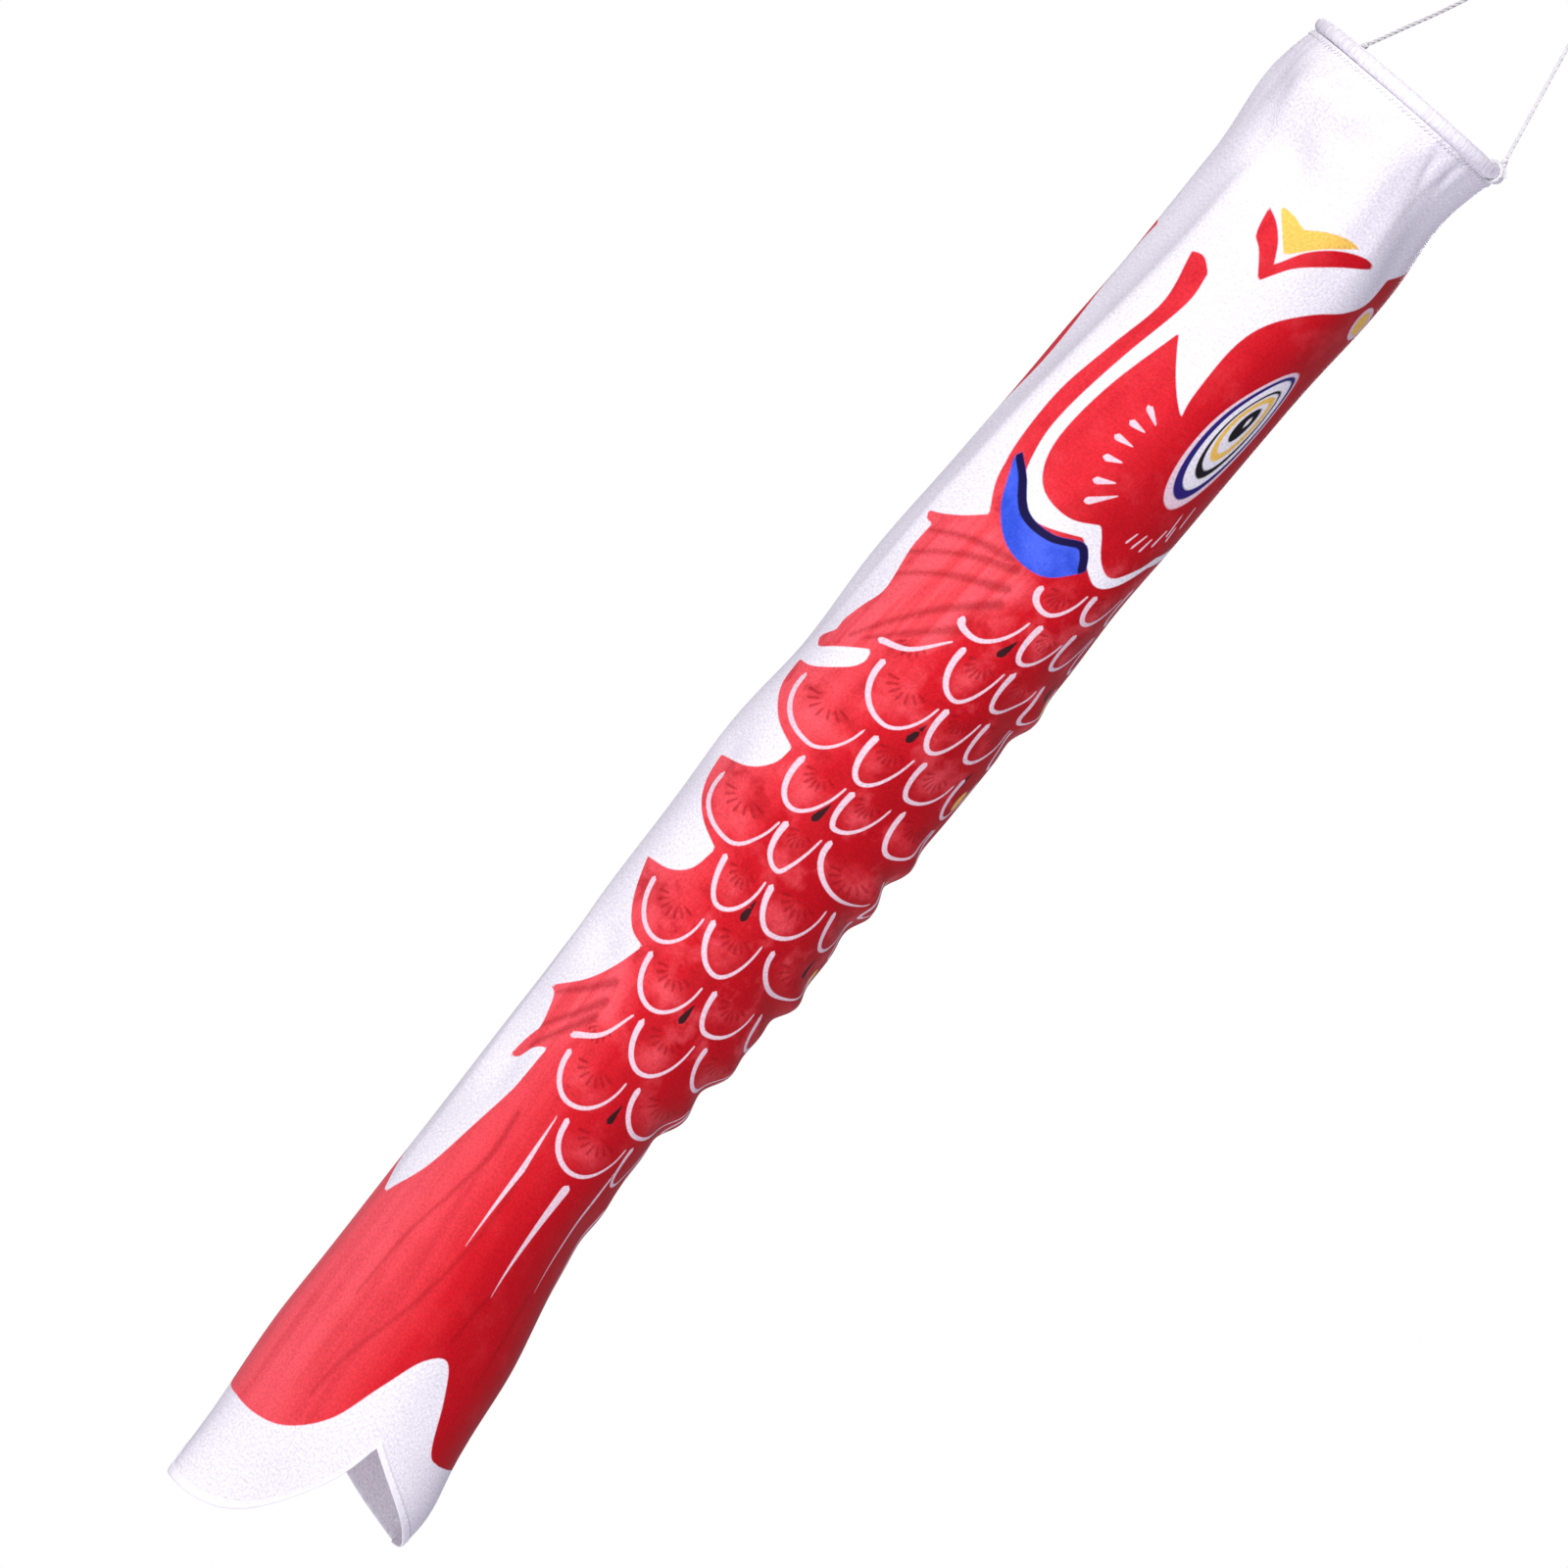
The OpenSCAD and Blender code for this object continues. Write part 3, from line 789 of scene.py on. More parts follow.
def laid_cord(path, diameter, lay, closed=False):
    """Points and faces of a cord along a path, twisted from strands that touch each other."""
    path = resampled(path, CORD_STEP, closed)
    _, _, side, other = swept(path, 1e-4, 3, closed)
    strand = diameter * STRAND_SHARE
    offset = diameter / 2 - strand
    length = len(path) * CORD_STEP
    turns = max(round(length / lay), 1) if closed else length / lay
    strands = []
    for k in range(STRANDS):
        angle = 2 * np.pi * (k / STRANDS + turns * np.arange(len(path)) / len(path))
        line = path + offset * (side * np.cos(angle)[:, None] + other * np.sin(angle)[:, None])
        strands.append(swept(line, strand * STRAND_SPREAD, STRAND_SIDES, closed)[:2])
    return joined(strands)


def ring_path(centre, u, v, radius, count=64):
    """Points of a circle in the plane of two directions."""
    a = np.arange(count) * 2 * np.pi / count
    return np.array(centre) + radius * (np.cos(a)[:, None] * np.array(u) + np.sin(a)[:, None] * np.array(v))


def knot_path(centre, along, size, turn=0.0):
    """An overhand knot pulled tight: a trefoil about the direction along."""
    along = Vector(along).normalized()
    u = along.orthogonal().normalized()
    u = Matrix.Rotation(turn, 3, along) @ u
    v = along.cross(u)
    t = np.arange(72) * 2 * np.pi / 72
    a = (np.sin(t) + 2 * np.sin(2 * t)) / 3
    b = (np.cos(t) - 2 * np.cos(2 * t)) / 3
    c = -np.sin(3 * t) * 0.36
    return np.array(centre) + size * (a[:, None] * np.array(u) + b[:, None] * np.array(along) * 0.8
                                      + c[:, None] * np.array(v))


# ---------------------------------------------------------------- materials

class Tree:
    """Short calls that add nodes to one tree and join them."""

    def __init__(self, tree):
        self.tree = tree

    def add(self, kind, inputs=None, **settings):
        node = self.tree.nodes.new(kind)
        for key, value in settings.items():
            setattr(node, key, value)
        for key, value in (inputs or {}).items():
            socket = node.inputs[key]
            if isinstance(value, bpy.types.NodeSocket):
                self.tree.links.new(value, socket)
            else:
                socket.default_value = value
        return node

    def math(self, operation, a, b=0.0, clamp=False):
        return self.add("ShaderNodeMath", {0: a, 1: b}, operation=operation, use_clamp=clamp).outputs[0]

    def ramp(self, value, low, high, start=0.0, end=1.0):
        return self.add("ShaderNodeMapRange", {"Value": value, "From Min": low, "From Max": high,
                                               "To Min": start, "To Max": end}, clamp=True).outputs[0]

    def mix(self, share, a, b, blend="MIX"):
        node = self.add("ShaderNodeMix", {"Factor": share}, data_type="RGBA", blend_type=blend)
        for key, value in ((6, a), (7, b)):
            if isinstance(value, bpy.types.NodeSocket):
                self.tree.links.new(value, node.inputs[key])
            else:
                node.inputs[key].default_value = (*value[:3], 1)
        return node.outputs[2]

    def attribute(self, name):
        return self.add("ShaderNodeAttribute", attribute_name=name).outputs["Fac"]

    def noise(self, vector, scale, detail=3.0, rough=0.5):
        return self.add("ShaderNodeTexNoise", {"Vector": vector, "Scale": scale, "Detail": detail,
                                               "Roughness": rough}).outputs["Fac"]

    def stretched(self, vector, scale):
        return self.add("ShaderNodeMapping", {"Vector": vector, "Scale": scale}).outputs[0]

    def finish(self, *values):
        """Gives out the values of a node group."""
        for socket, value in zip(self.add("NodeGroupOutput").inputs, values):
            self.tree.links.new(value, socket)


def new_group(name, place, outputs):
    """A node group that takes a place on the piece and gives out values."""
    group = bpy.data.node_groups.new(name, "ShaderNodeTree")
    group.interface.new_socket(place, in_out="INPUT", socket_type="NodeSocketVector")
    for label in outputs:
        group.interface.new_socket(label, in_out="OUTPUT", socket_type="NodeSocketFloat")
    tree = Tree(group)
    return group, tree, tree.add("NodeGroupInput").outputs[place]


def satin_group():
    """Fine floats of satin weave and its glitter, on flat cloth coordinates in metres."""
    group = bpy.data.node_groups.get("satin_weave")
    if group:
        return group
    group, t, cloth = new_group("satin_weave", "Cloth", ("Height", "Grain and glint", "Cloud"))
    floats = t.noise(t.stretched(cloth, (2600, 900, 1)), 1.0, 2, 0.6)
    weft = t.noise(t.stretched(cloth, (700, 2300, 1)), 1.0, 1, 0.5)
    grain_and_glint = t.noise(t.stretched(cloth, (1000, 800, 1)), 1.0, 3, 0.75)
    cloud = t.noise(t.stretched(cloth, (22, 14, 1)), 1.0, 3, 0.55)
    height = t.math("ADD", t.math("MULTIPLY", floats, 0.65), t.math("MULTIPLY", weft, 0.35))
    t.finish(height, grain_and_glint, cloud)
    return group


def cord_group():
    """Fibres along a strand, from a place on the piece."""
    group = bpy.data.node_groups.get("spun_fibre")
    if group:
        return group
    group, t, place = new_group("spun_fibre", "Place", ("Height", "Dust"))
    fibre = t.noise(t.stretched(place, (5200, 5200, 2000)), 1.0, 3, 0.6)
    dust = t.noise(t.stretched(place, (260, 260, 260)), 1.0, 2, 0.5)
    t.finish(fibre, dust)
    return group


def new_material(name):
    material = bpy.data.materials.new(name)
    material.use_nodes = True
    tree = Tree(material.node_tree)
    shader = material.node_tree.nodes["Principled BSDF"]
    return material, tree, shader


def link(tree, value, shader, name):
    tree.tree.links.new(value, shader.inputs[name])


def raise_surface(tree, shader, height, strength, distance):
    """Relief of a surface, from a height between 0 and 1 and its depth in metres."""
    relief = tree.add("ShaderNodeBump", {"Strength": strength, "Distance": distance, "Height": height})
    link(tree, relief.outputs[0], shader, "Normal")


def satin_finish(tree, shader, base, cloth, depth_of=0.00011):
    """Gives a shader the gloss, grain and weave of satin over a base colour, with glints of the satin
    painted into the colour.
    """
    weave = tree.add("ShaderNodeGroup", {"Cloth": cloth}, node_tree=satin_group())
    # The grain lightens and darkens the base colour: partly the satin's uneven tone, partly painted glints
    grain_and_glint = tree.ramp(weave.outputs["Grain and glint"], 0.3, 0.7, 0.74, 1.16)
    shaded = tree.add("ShaderNodeVectorMath", {0: base, 1: (1, 1, 1)}, operation="MULTIPLY")
    combine = tree.add("ShaderNodeCombineXYZ", {0: grain_and_glint, 1: grain_and_glint, 2: grain_and_glint})
    tree.tree.links.new(combine.outputs[0], shaded.inputs[1])
    link(tree, shaded.outputs[0], shader, "Base Color")
    rough = tree.math("ADD", tree.ramp(weave.outputs["Grain and glint"], 0.3, 0.7, 0.38, 0.52),
                      tree.ramp(weave.outputs["Cloud"], 0.3, 0.7, -0.04, 0.06))
    link(tree, rough, shader, "Roughness")
    raise_surface(tree, shader, weave.outputs["Height"], 0.55, depth_of)
    shader.inputs["Specular IOR Level"].default_value = 0.13
    shader.inputs["Sheen Weight"].default_value = 0.01
    shader.inputs["Sheen Roughness"].default_value = 0.4


def cover(tree, below, distance, ink, soft=0.28):
    """Lays an ink over what is below it, inside a printed outline."""
    return tree.mix(tree.ramp(distance, soft, -soft), below, ink)


def printed_satin():
    """The fish print: each ink is laid where its field is below zero."""
    ink = bpy.context.scene.carp_print
    material, tree, shader = new_material("printed_satin")
    uv = tree.add("ShaderNodeUVMap", uv_map="cloth").outputs[0]
    cloud = tree.noise(tree.stretched(uv, (16, 30, 1)), 1.0, 4, 0.6)
    streak = tree.noise(tree.stretched(uv, (150, 9, 1)), 1.0, 3, 0.5)
    soft_white = tree.mix(tree.ramp(cloud, 0.35, 0.65), ink.white, [c * 0.96 for c in ink.white])

    # Reds: deeper on the back, which is painted shade, and paler at the belly below the gill, partly print
    # and partly painted light, brushed along the body, with rays in the fins
    flank = tree.attribute("flank")
    # Painted shade: the red deepens towards the back, the side away from the light
    red = tree.mix(tree.ramp(flank, 55, 105, 0.0, 0.8), ink.red, ink.deep)
    down = tree.add("ShaderNodeSeparateXYZ", {0: uv}).outputs[1]
    # Painted light: below the gill the belly side is mixed towards the paler fin red
    paler_belly_painted_light = tree.math("MULTIPLY", tree.ramp(flank, 72, 22, 0.0, 0.9),
                      tree.ramp(down, 0.19, 0.23, 0.25, 1.0))
    red = tree.mix(paler_belly_painted_light, red, ink.fin)
    red = tree.mix(tree.ramp(streak, 0.45, 0.75, 0.0, 0.35), red, ink.deep)
    patch = tree.noise(tree.stretched(uv, (60, 60, 1)), 1.0, 3, 0.6)
    scaled = tree.math("MULTIPLY", tree.ramp(down, 0.50, 0.44, 0.15, 1.0),
                       tree.ramp(down, 0.18, 0.22, 0.35, 1.0))
    red = tree.mix(tree.math("MULTIPLY", scaled, tree.ramp(patch, 0.52, 0.68, 0.0, 0.4)), red, ink.fin)
    glow = tree.math("MULTIPLY", tree.ramp(tree.attribute("glow"), 1.1, 0.2),
                     tree.ramp(patch, 0.36, 0.6, 0.15, 0.75))
    red = tree.mix(tree.math("MULTIPLY", glow, tree.ramp(flank, 125, 35, 0.35, 1.0)), red, ink.fin)
    red = tree.mix(tree.math("MULTIPLY", scaled, tree.ramp(patch, 0.48, 0.34, 0.0, 0.6)), red, ink.deep)
    fin_share = tree.ramp(tree.math("ADD", tree.attribute("fin"), tree.ramp(streak, 0.3, 0.7, -2, 2)),
                          3.5, -4.5)
    rays = tree.mix(tree.ramp(streak, 0.45, 0.62, 0.0, 0.5), ink.fin, ink.red)
    red = tree.mix(tree.math("MULTIPLY", fin_share, 0.85), red, rays)

    # Dark marks on the red
    mark = tree.math("SUBTRACT", tree.math("ABSOLUTE", tree.attribute("mark_across")),
                     tree.attribute("mark_half"))
    tint = tree.attribute("mark_tint")
    mark_ink = tree.mix(tree.ramp(tint, 0.5, 1.0), [c * 0.66 for c in ink.deep], ink.black)
    # Streaks of the middle tint have soft edges, and the others crisp ones
    from_middle = tree.math("ABSOLUTE", tree.math("SUBTRACT", tint, 0.5))
    soft = tree.math("SUBTRACT", 1.15, tree.math("MULTIPLY", from_middle, 1.8))
    share = tree.math("ADD", tree.math("MULTIPLY", tree.math("DIVIDE", mark, soft), -0.5), 0.5, True)
    share = tree.math("MULTIPLY", share, tree.ramp(tint, 0.5, 1.0, 0.5, 0.95))
    red = tree.mix(share, red, mark_ink)

    red = cover(tree, red, tree.attribute("chips"), ink.yellow)
    blue = tree.mix(tree.ramp(patch, 0.40, 0.62), ink.blue, [min(1, c * 1.25 + 0.03) for c in ink.blue])
    print_here = soft_white
    for field, colour_here in (
            ("red", red), ("spot", ink.line), ("yellow", ink.yellow), ("blue", blue),
            ("navy", [c * 0.35 for c in ink.navy])):
        print_here = cover(tree, print_here, tree.attribute(field), colour_here)
    pale = tree.math("SUBTRACT", tree.math("ABSOLUTE", tree.attribute("pale_across")),
                     tree.attribute("pale_half"))
    print_here = cover(tree, print_here, pale, ink.line, 0.22)

    for k, (name, *_) in enumerate(EYE_RINGS):
        print_here = cover(tree, print_here, tree.attribute(f"eye_{k}"), getattr(ink, name), 0.2)

    # The print shows through on the wrong side, paler
    inside = tree.math("MULTIPLY", tree.attribute("inside"), 0.62)
    print_here = tree.mix(inside, print_here, [c * 0.97 for c in ink.white])
    satin_finish(tree, shader, print_here, uv)
    return material


def plain_satin():
    """Unprinted satin of the casing and the hem."""
    ink = bpy.context.scene.carp_print
    material, tree, shader = new_material("white_satin")
    place = tree.add("ShaderNodeTexCoord").outputs["Object"]
    cloud = tree.noise(tree.stretched(place, (30, 30, 30)), 1.0, 3, 0.5)
    base = tree.mix(tree.ramp(cloud, 0.35, 0.65), ink.white, [c * 0.95 for c in ink.white])
    satin_finish(tree, shader, base, place, 0.0001)
    return material


def cord_material(name, base, rough=0.75):
    """Spun thread: fibres along it, painted shade between them, and a little dust."""
    material, tree, shader = new_material(name)
    place = tree.add("ShaderNodeTexCoord").outputs["Object"]
    fibre = tree.add("ShaderNodeGroup", {"Place": place}, node_tree=cord_group())
    mixed = tree.mix(tree.ramp(fibre.outputs["Dust"], 0.4, 0.75, 0.0, 0.6), base, [c * 0.82 for c in base])
    # Painted shade: darker where the fibre relief is low, between the fibres
    mixed = tree.mix(tree.ramp(fibre.outputs["Height"], 0.35, 0.6, 0.35, 0.0), mixed,
                     [c * 0.7 for c in base])
    link(tree, mixed, shader, "Base Color")
    link(tree, tree.ramp(fibre.outputs["Height"], 0.3, 0.7, rough + 0.1, rough - 0.1), shader, "Roughness")
    raise_surface(tree, shader, fibre.outputs["Height"], 0.6, 0.0001)
    shader.inputs["Sheen Weight"].default_value = 0.3
    return material


def plastic_material(name, base, rough, scratch):
    """Moulded plastic of the rod and its push-on joiner, rougher where it is scuffed."""
    material, tree, shader = new_material(name)
    place = tree.add("ShaderNodeTexCoord").outputs["Object"]
    mottle = tree.noise(tree.stretched(place, (180, 180, 180)), 1.0, 3, 0.6)
    scuff = tree.noise(tree.stretched(place, (900, 900, 4000)), 1.0, 2, 0.7)
    mixed = tree.mix(tree.ramp(mottle, 0.35, 0.7, 0.0, 0.5), base, [c * 0.8 for c in base])
    link(tree, mixed, shader, "Base Color")
    link(tree, tree.ramp(scuff, 0.3, 0.7, rough, rough + scratch), shader, "Roughness")
    raise_surface(tree, shader, scuff, 0.2, 0.00005)
    return material, shader


# ---------------------------------------------------------------- pieces

class CARP_OT_stage(bpy.types.Operator):
    """Camera, soft light and a pale floor"""
    bl_idname = "carp.stage"
    bl_label = "Camera, Lights and Floor"

    def execute(self, context):
        stage = context.scene.carp_stage
        from_eye = Vector((0, stage.distance, CAMERA_DROP)).normalized()
        camera = bpy.data.cameras.new("camera")
        camera.sensor_width = SENSOR
        camera.lens = SENSOR * stage.distance / stage.width
        camera.dof.use_dof = False
        holder = bpy.data.objects.new("camera", camera)
        context.scene.collection.objects.link(holder)
        upright = from_eye.to_track_quat("-Z", "Y").to_matrix().to_4x4()
        turned = upright @ Matrix.Rotation(stage.roll, 4, "Z")
        holder.matrix_world = Matrix.Translation(TARGET - from_eye * stage.distance) @ turned
        camera.clip_start, camera.clip_end = 0.01, 60
        context.scene.camera = holder
        self.lamp("key", (-1.2, -3.1, 1.6), 1.0, stage.key, (1.0, 0.985, 0.97))
        self.lamp("fill", (0.8, -2.2, -2.0), 1.2, stage.fill, (0.93, 0.93, 1.0))
        self.lamp("back", (0.1, 2.1, 0.3), 1.4, BACK_LIGHT, (0.96, 0.95, 1.0))
        self.sky(context)
        self.floor()
        context.scene.view_settings.view_transform = "Standard"
        return {"FINISHED"}

    def lamp(self, name, place, size, power, tone):
        """A round area light that points at the middle of the fish."""
        light = bpy.data.lights.new(name, "AREA")
        light.shape, light.size, light.energy, light.color = "DISK", size, power, tone
        holder = bpy.data.objects.new(name, light)
        bpy.context.scene.collection.objects.link(holder)
        place = Vector(place)
        holder.location = place
        holder.rotation_euler = (TARGET - place).to_track_quat("-Z", "Y").to_euler()
        holder.visible_camera = False

    def sky(self, context):
        world = context.scene.world or bpy.data.worlds.new("studio")
        context.scene.world = world
        world.use_nodes = True
        world.node_tree.nodes.clear()
        tree = Tree(world.node_tree)
        seen = tree.add("ShaderNodeBackground", {"Color": (1, 1, 1, 1), "Strength": 1.0})
        soft = tree.add("ShaderNodeBackground", {"Color": (0.86, 0.82, 1.0, 1), "Strength": 0.40})
        path = tree.add("ShaderNodeLightPath")
        mixed = tree.add("ShaderNodeMixShader", {0: path.outputs["Is Camera Ray"], 1: soft.outputs[0],
                                                 2: seen.outputs[0]})
        tree.add("ShaderNodeOutputWorld", {"Surface": mixed.outputs[0]})

    def floor(self):
        clean_selection()
        bpy.ops.mesh.primitive_circle_add(
            vertices=96, radius=FLOOR_R, fill_type="NGON", location=(0, 0, FLOOR_Z))
        floor = bpy.context.object
        floor.name = "floor"
        floor.data.transform(Matrix.Translation((0, 0, FLOOR_Z)))
        floor.location = (0, 0, 0)
        material, tree, shader = new_material("pale_floor")
        place = tree.add("ShaderNodeTexCoord").outputs["Object"]
        apart = tree.add("ShaderNodeSeparateXYZ", {0: place})
        away = tree.math("SQRT", tree.math("ADD", tree.math("POWER", apart.outputs[0], 2.0),
                                           tree.math("POWER", apart.outputs[1], 2.0)))
        shader.inputs["Base Color"].default_value = (0.93, 0.93, 0.94, 1)
        shader.inputs["Roughness"].default_value = 0.9
        link(tree, tree.ramp(away, FLOOR_R - 0.1, 0.5), shader, "Alpha")
        floor.data.materials.append(material)


class CARP_OT_bridle(bpy.types.Operator):
    """Two taut twisted cords, their knots and the loop that hangs on a hook"""
    bl_idname = "carp.bridle"
    bl_label = "Bridle"

    def execute(self, context):
        cord = context.scene.carp_bridle.cord
        lay = context.scene.carp_bridle.lay
        white = cord_material("bridle_cord", (0.80, 0.79, 0.80))
        across = (RIGHT_KNOT - LEFT_KNOT).to_2d().normalized()
        flat = Vector((across.x, across.y, 0))
        down = Vector((0, 0, -1))

        # The loop, and the eye and knot that hang from it
        loop = ring_path((0, 0, LOOP_Z), flat, (0, 0, 1), LOOP_R)
        hanging_loop = new_mesh(
            "loop", *laid_cord(loop, context.scene.carp_bridle.loop_cord, lay, True), white)
        square = Vector((-flat.y, flat.x, 0))
        loop_low = LOOP_Z - LOOP_R
        eye = ring_path((0, 0, loop_low), square, (0, 0, 1), EYE_R, 40)
        knot = knot_path((0, 0, APEX_Z), down, APEX_KNOT)
        apex = joined([laid_cord(eye, cord, lay * 0.7, True), laid_cord(knot, cord, lay * 0.7, True),
                       laid_cord(self.tail((0, 0, APEX_Z), flat * 0.4 + down, 0.009), cord, lay),
                       laid_cord(self.tail((0, 0, APEX_Z), square * 0.55 + down, 0.007), cord, lay)])
        apex_knot = new_mesh("apex", *apex, white)

        for side, route, node in (("left", LEFT_ROUTE, "left_bridle_cord"),
                                  ("right", RIGHT_ROUTE, "right_bridle_cord")):
            piece = new_mesh(f"{side}_cord", *laid_cord(route, cord, lay), white)
            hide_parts(node)
            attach(piece, "bridle")

        self.tie("left_tie", LEFT_TIE, LEFT_KNOT, LEFT_ROUTE, cord, lay, white, "left_rim_tie")
        self.tie("right_tie", RIGHT_TIE, RIGHT_KNOT, RIGHT_ROUTE, cord, lay, white, "right_rim_tie")
        for piece, node, body in ((hanging_loop, "hanging_loop", "hanger"),
                                  (apex_knot, "apex_knot", "bridle")):
            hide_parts(node)
            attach(piece, body)
        return {"FINISHED"}

    def tail(self, start, towards, length):
        """A short loose end of cord below a knot."""
        towards = Vector(towards).normalized()
        start = Vector(start)
        bend = Vector((towards.y, -towards.x, 0)) * 0.0006
        return [start, start + towards * length * 0.4 + bend, start + towards * length]

    def tie(self, name, direction, knot, route, cord, lay, material, node):
        """Two turns round the rolled rim and a knot that the bridle's cord ends in."""
        slope = Matrix.Rotation(RIM_SLOPE, 3, "Y")
        outward = slope @ Vector((math.cos(direction), math.sin(direction), 0))
        along = slope @ Vector((-math.sin(direction), math.cos(direction), 0))
        up = slope @ Vector((0, 0, 1))
        centre = HOOP_CENTRE + outward * HOOP_R
        turns = []
        for shift in (-0.55, 0.55):
            ring = ring_path(centre + along * cord * shift, outward, up, CASING_R + cord / 2 + TIE_GAP)
            turns.append(laid_cord(ring, cord, lay * 0.8, True))
        pull = Vector(route[2]) - Vector(route[0])
        turns.append(laid_cord(knot_path(knot, pull, RIM_KNOT, 0.7), cord * 0.9, lay * 0.7, True))
        turns.append(laid_cord(self.tail(knot, outward * 0.7 - up * 0.8 + along * 0.3, 0.0055),
                               cord * 0.95, lay))
        piece = new_mesh(name, *joined(turns), material)
        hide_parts(node)
        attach(piece, "mouth")


class CARP_OT_hoop(bpy.types.Operator):
    """Finishes for the springy rod and its joiner, which keep their own meshes"""
    bl_idname = "carp.hoop"
    bl_label = "Hoop and Joiner"

    def execute(self, context):
        rod, shader = plastic_material("hoop_rod", (0.72, 0.73, 0.74), 0.28, 0.12)
        shader.inputs["Coat Weight"].default_value = 0.2
        joiner, _ = plastic_material("joiner", (0.62, 0.63, 0.65), 0.25, 0.25)
        for node, material in (("mouth_hoop", rod), ("hoop_joiner", joiner)):
            found = bpy.data.objects[node] if node in bpy.data.objects else None
            if found is None:
                raise RuntimeError(f"the packed model has no {node}")
            found.data.materials.clear()
            found.data.materials.append(material)
        return {"FINISHED"}


class CARP_OT_rim(bpy.types.Operator):
    """The cloth rolled round the hoop and the thread that sews it shut"""
    bl_idname = "carp.rim"
    bl_label = "Rolled Rim"

    def execute(self, context):
        white = plain_satin()
        slope = np.array(Matrix.Rotation(RIM_SLOPE, 3, "Y"))
        count, sides = 384, 22
        rng = np.random.default_rng(11)
        turn = np.arange(count) * 2 * np.pi / count
        pucker = sum(rng.uniform(0.4, 1) * np.sin(turn * n + rng.uniform(0, 6.3)) for n in (31, 47, 58,
                                                                                            73, 90)) / 5
        slow = sum(rng.uniform(0.4, 1) * np.sin(turn * n + rng.uniform(0, 6.3)) for n in (5, 9, 14)) / 3
        around = np.arange(sides) * 2 * np.pi / sides
        under = 0.5 - 0.5 * np.sin(around)
        radius = CASING_R * (1 + 0.035 * slow[:, None] + 0.075 * pucker[:, None] * under[None, :] ** 1.5)
        out = HOOP_R + radius * np.cos(around)[None, :]
        points = np.stack([out * np.cos(turn)[:, None], out * np.sin(turn)[:, None],
                           radius * np.sin(around)[None, :]], axis=-1)
        points = points @ slope.T + np.array(HOOP_CENTRE)
        casing = new_mesh("rim_casing", points, ring_faces(count, sides, True, turned=True), white)
        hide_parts("hoop_casing")
        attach(casing, "mouth")

        # A zigzag of thread just below the roll
        thread = cord_material("thread", (0.86, 0.85, 0.88), 0.6)
        zigs = 128
        at = np.arange(zigs * 4) / (zigs * 4) * 360
        swing = np.array([-0.7, 0.0, 0.7, 0.0] * zigs)
        depth = top_edge(at) + 1.6 + swing
        path = tube_point(at, depth, 0.25 + folds_at((at - belly_at(depth) + 540) % 360 - 180, depth,
                                                     context.scene.carp_cloth.gathers))
        ring, face, _, _ = swept(path, 0.00019, 5, True)
        stitch = new_mesh("rim_thread", ring, face, thread)
        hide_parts("casing_stitching")
        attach(stitch, "mouth")
        return {"FINISHED"}


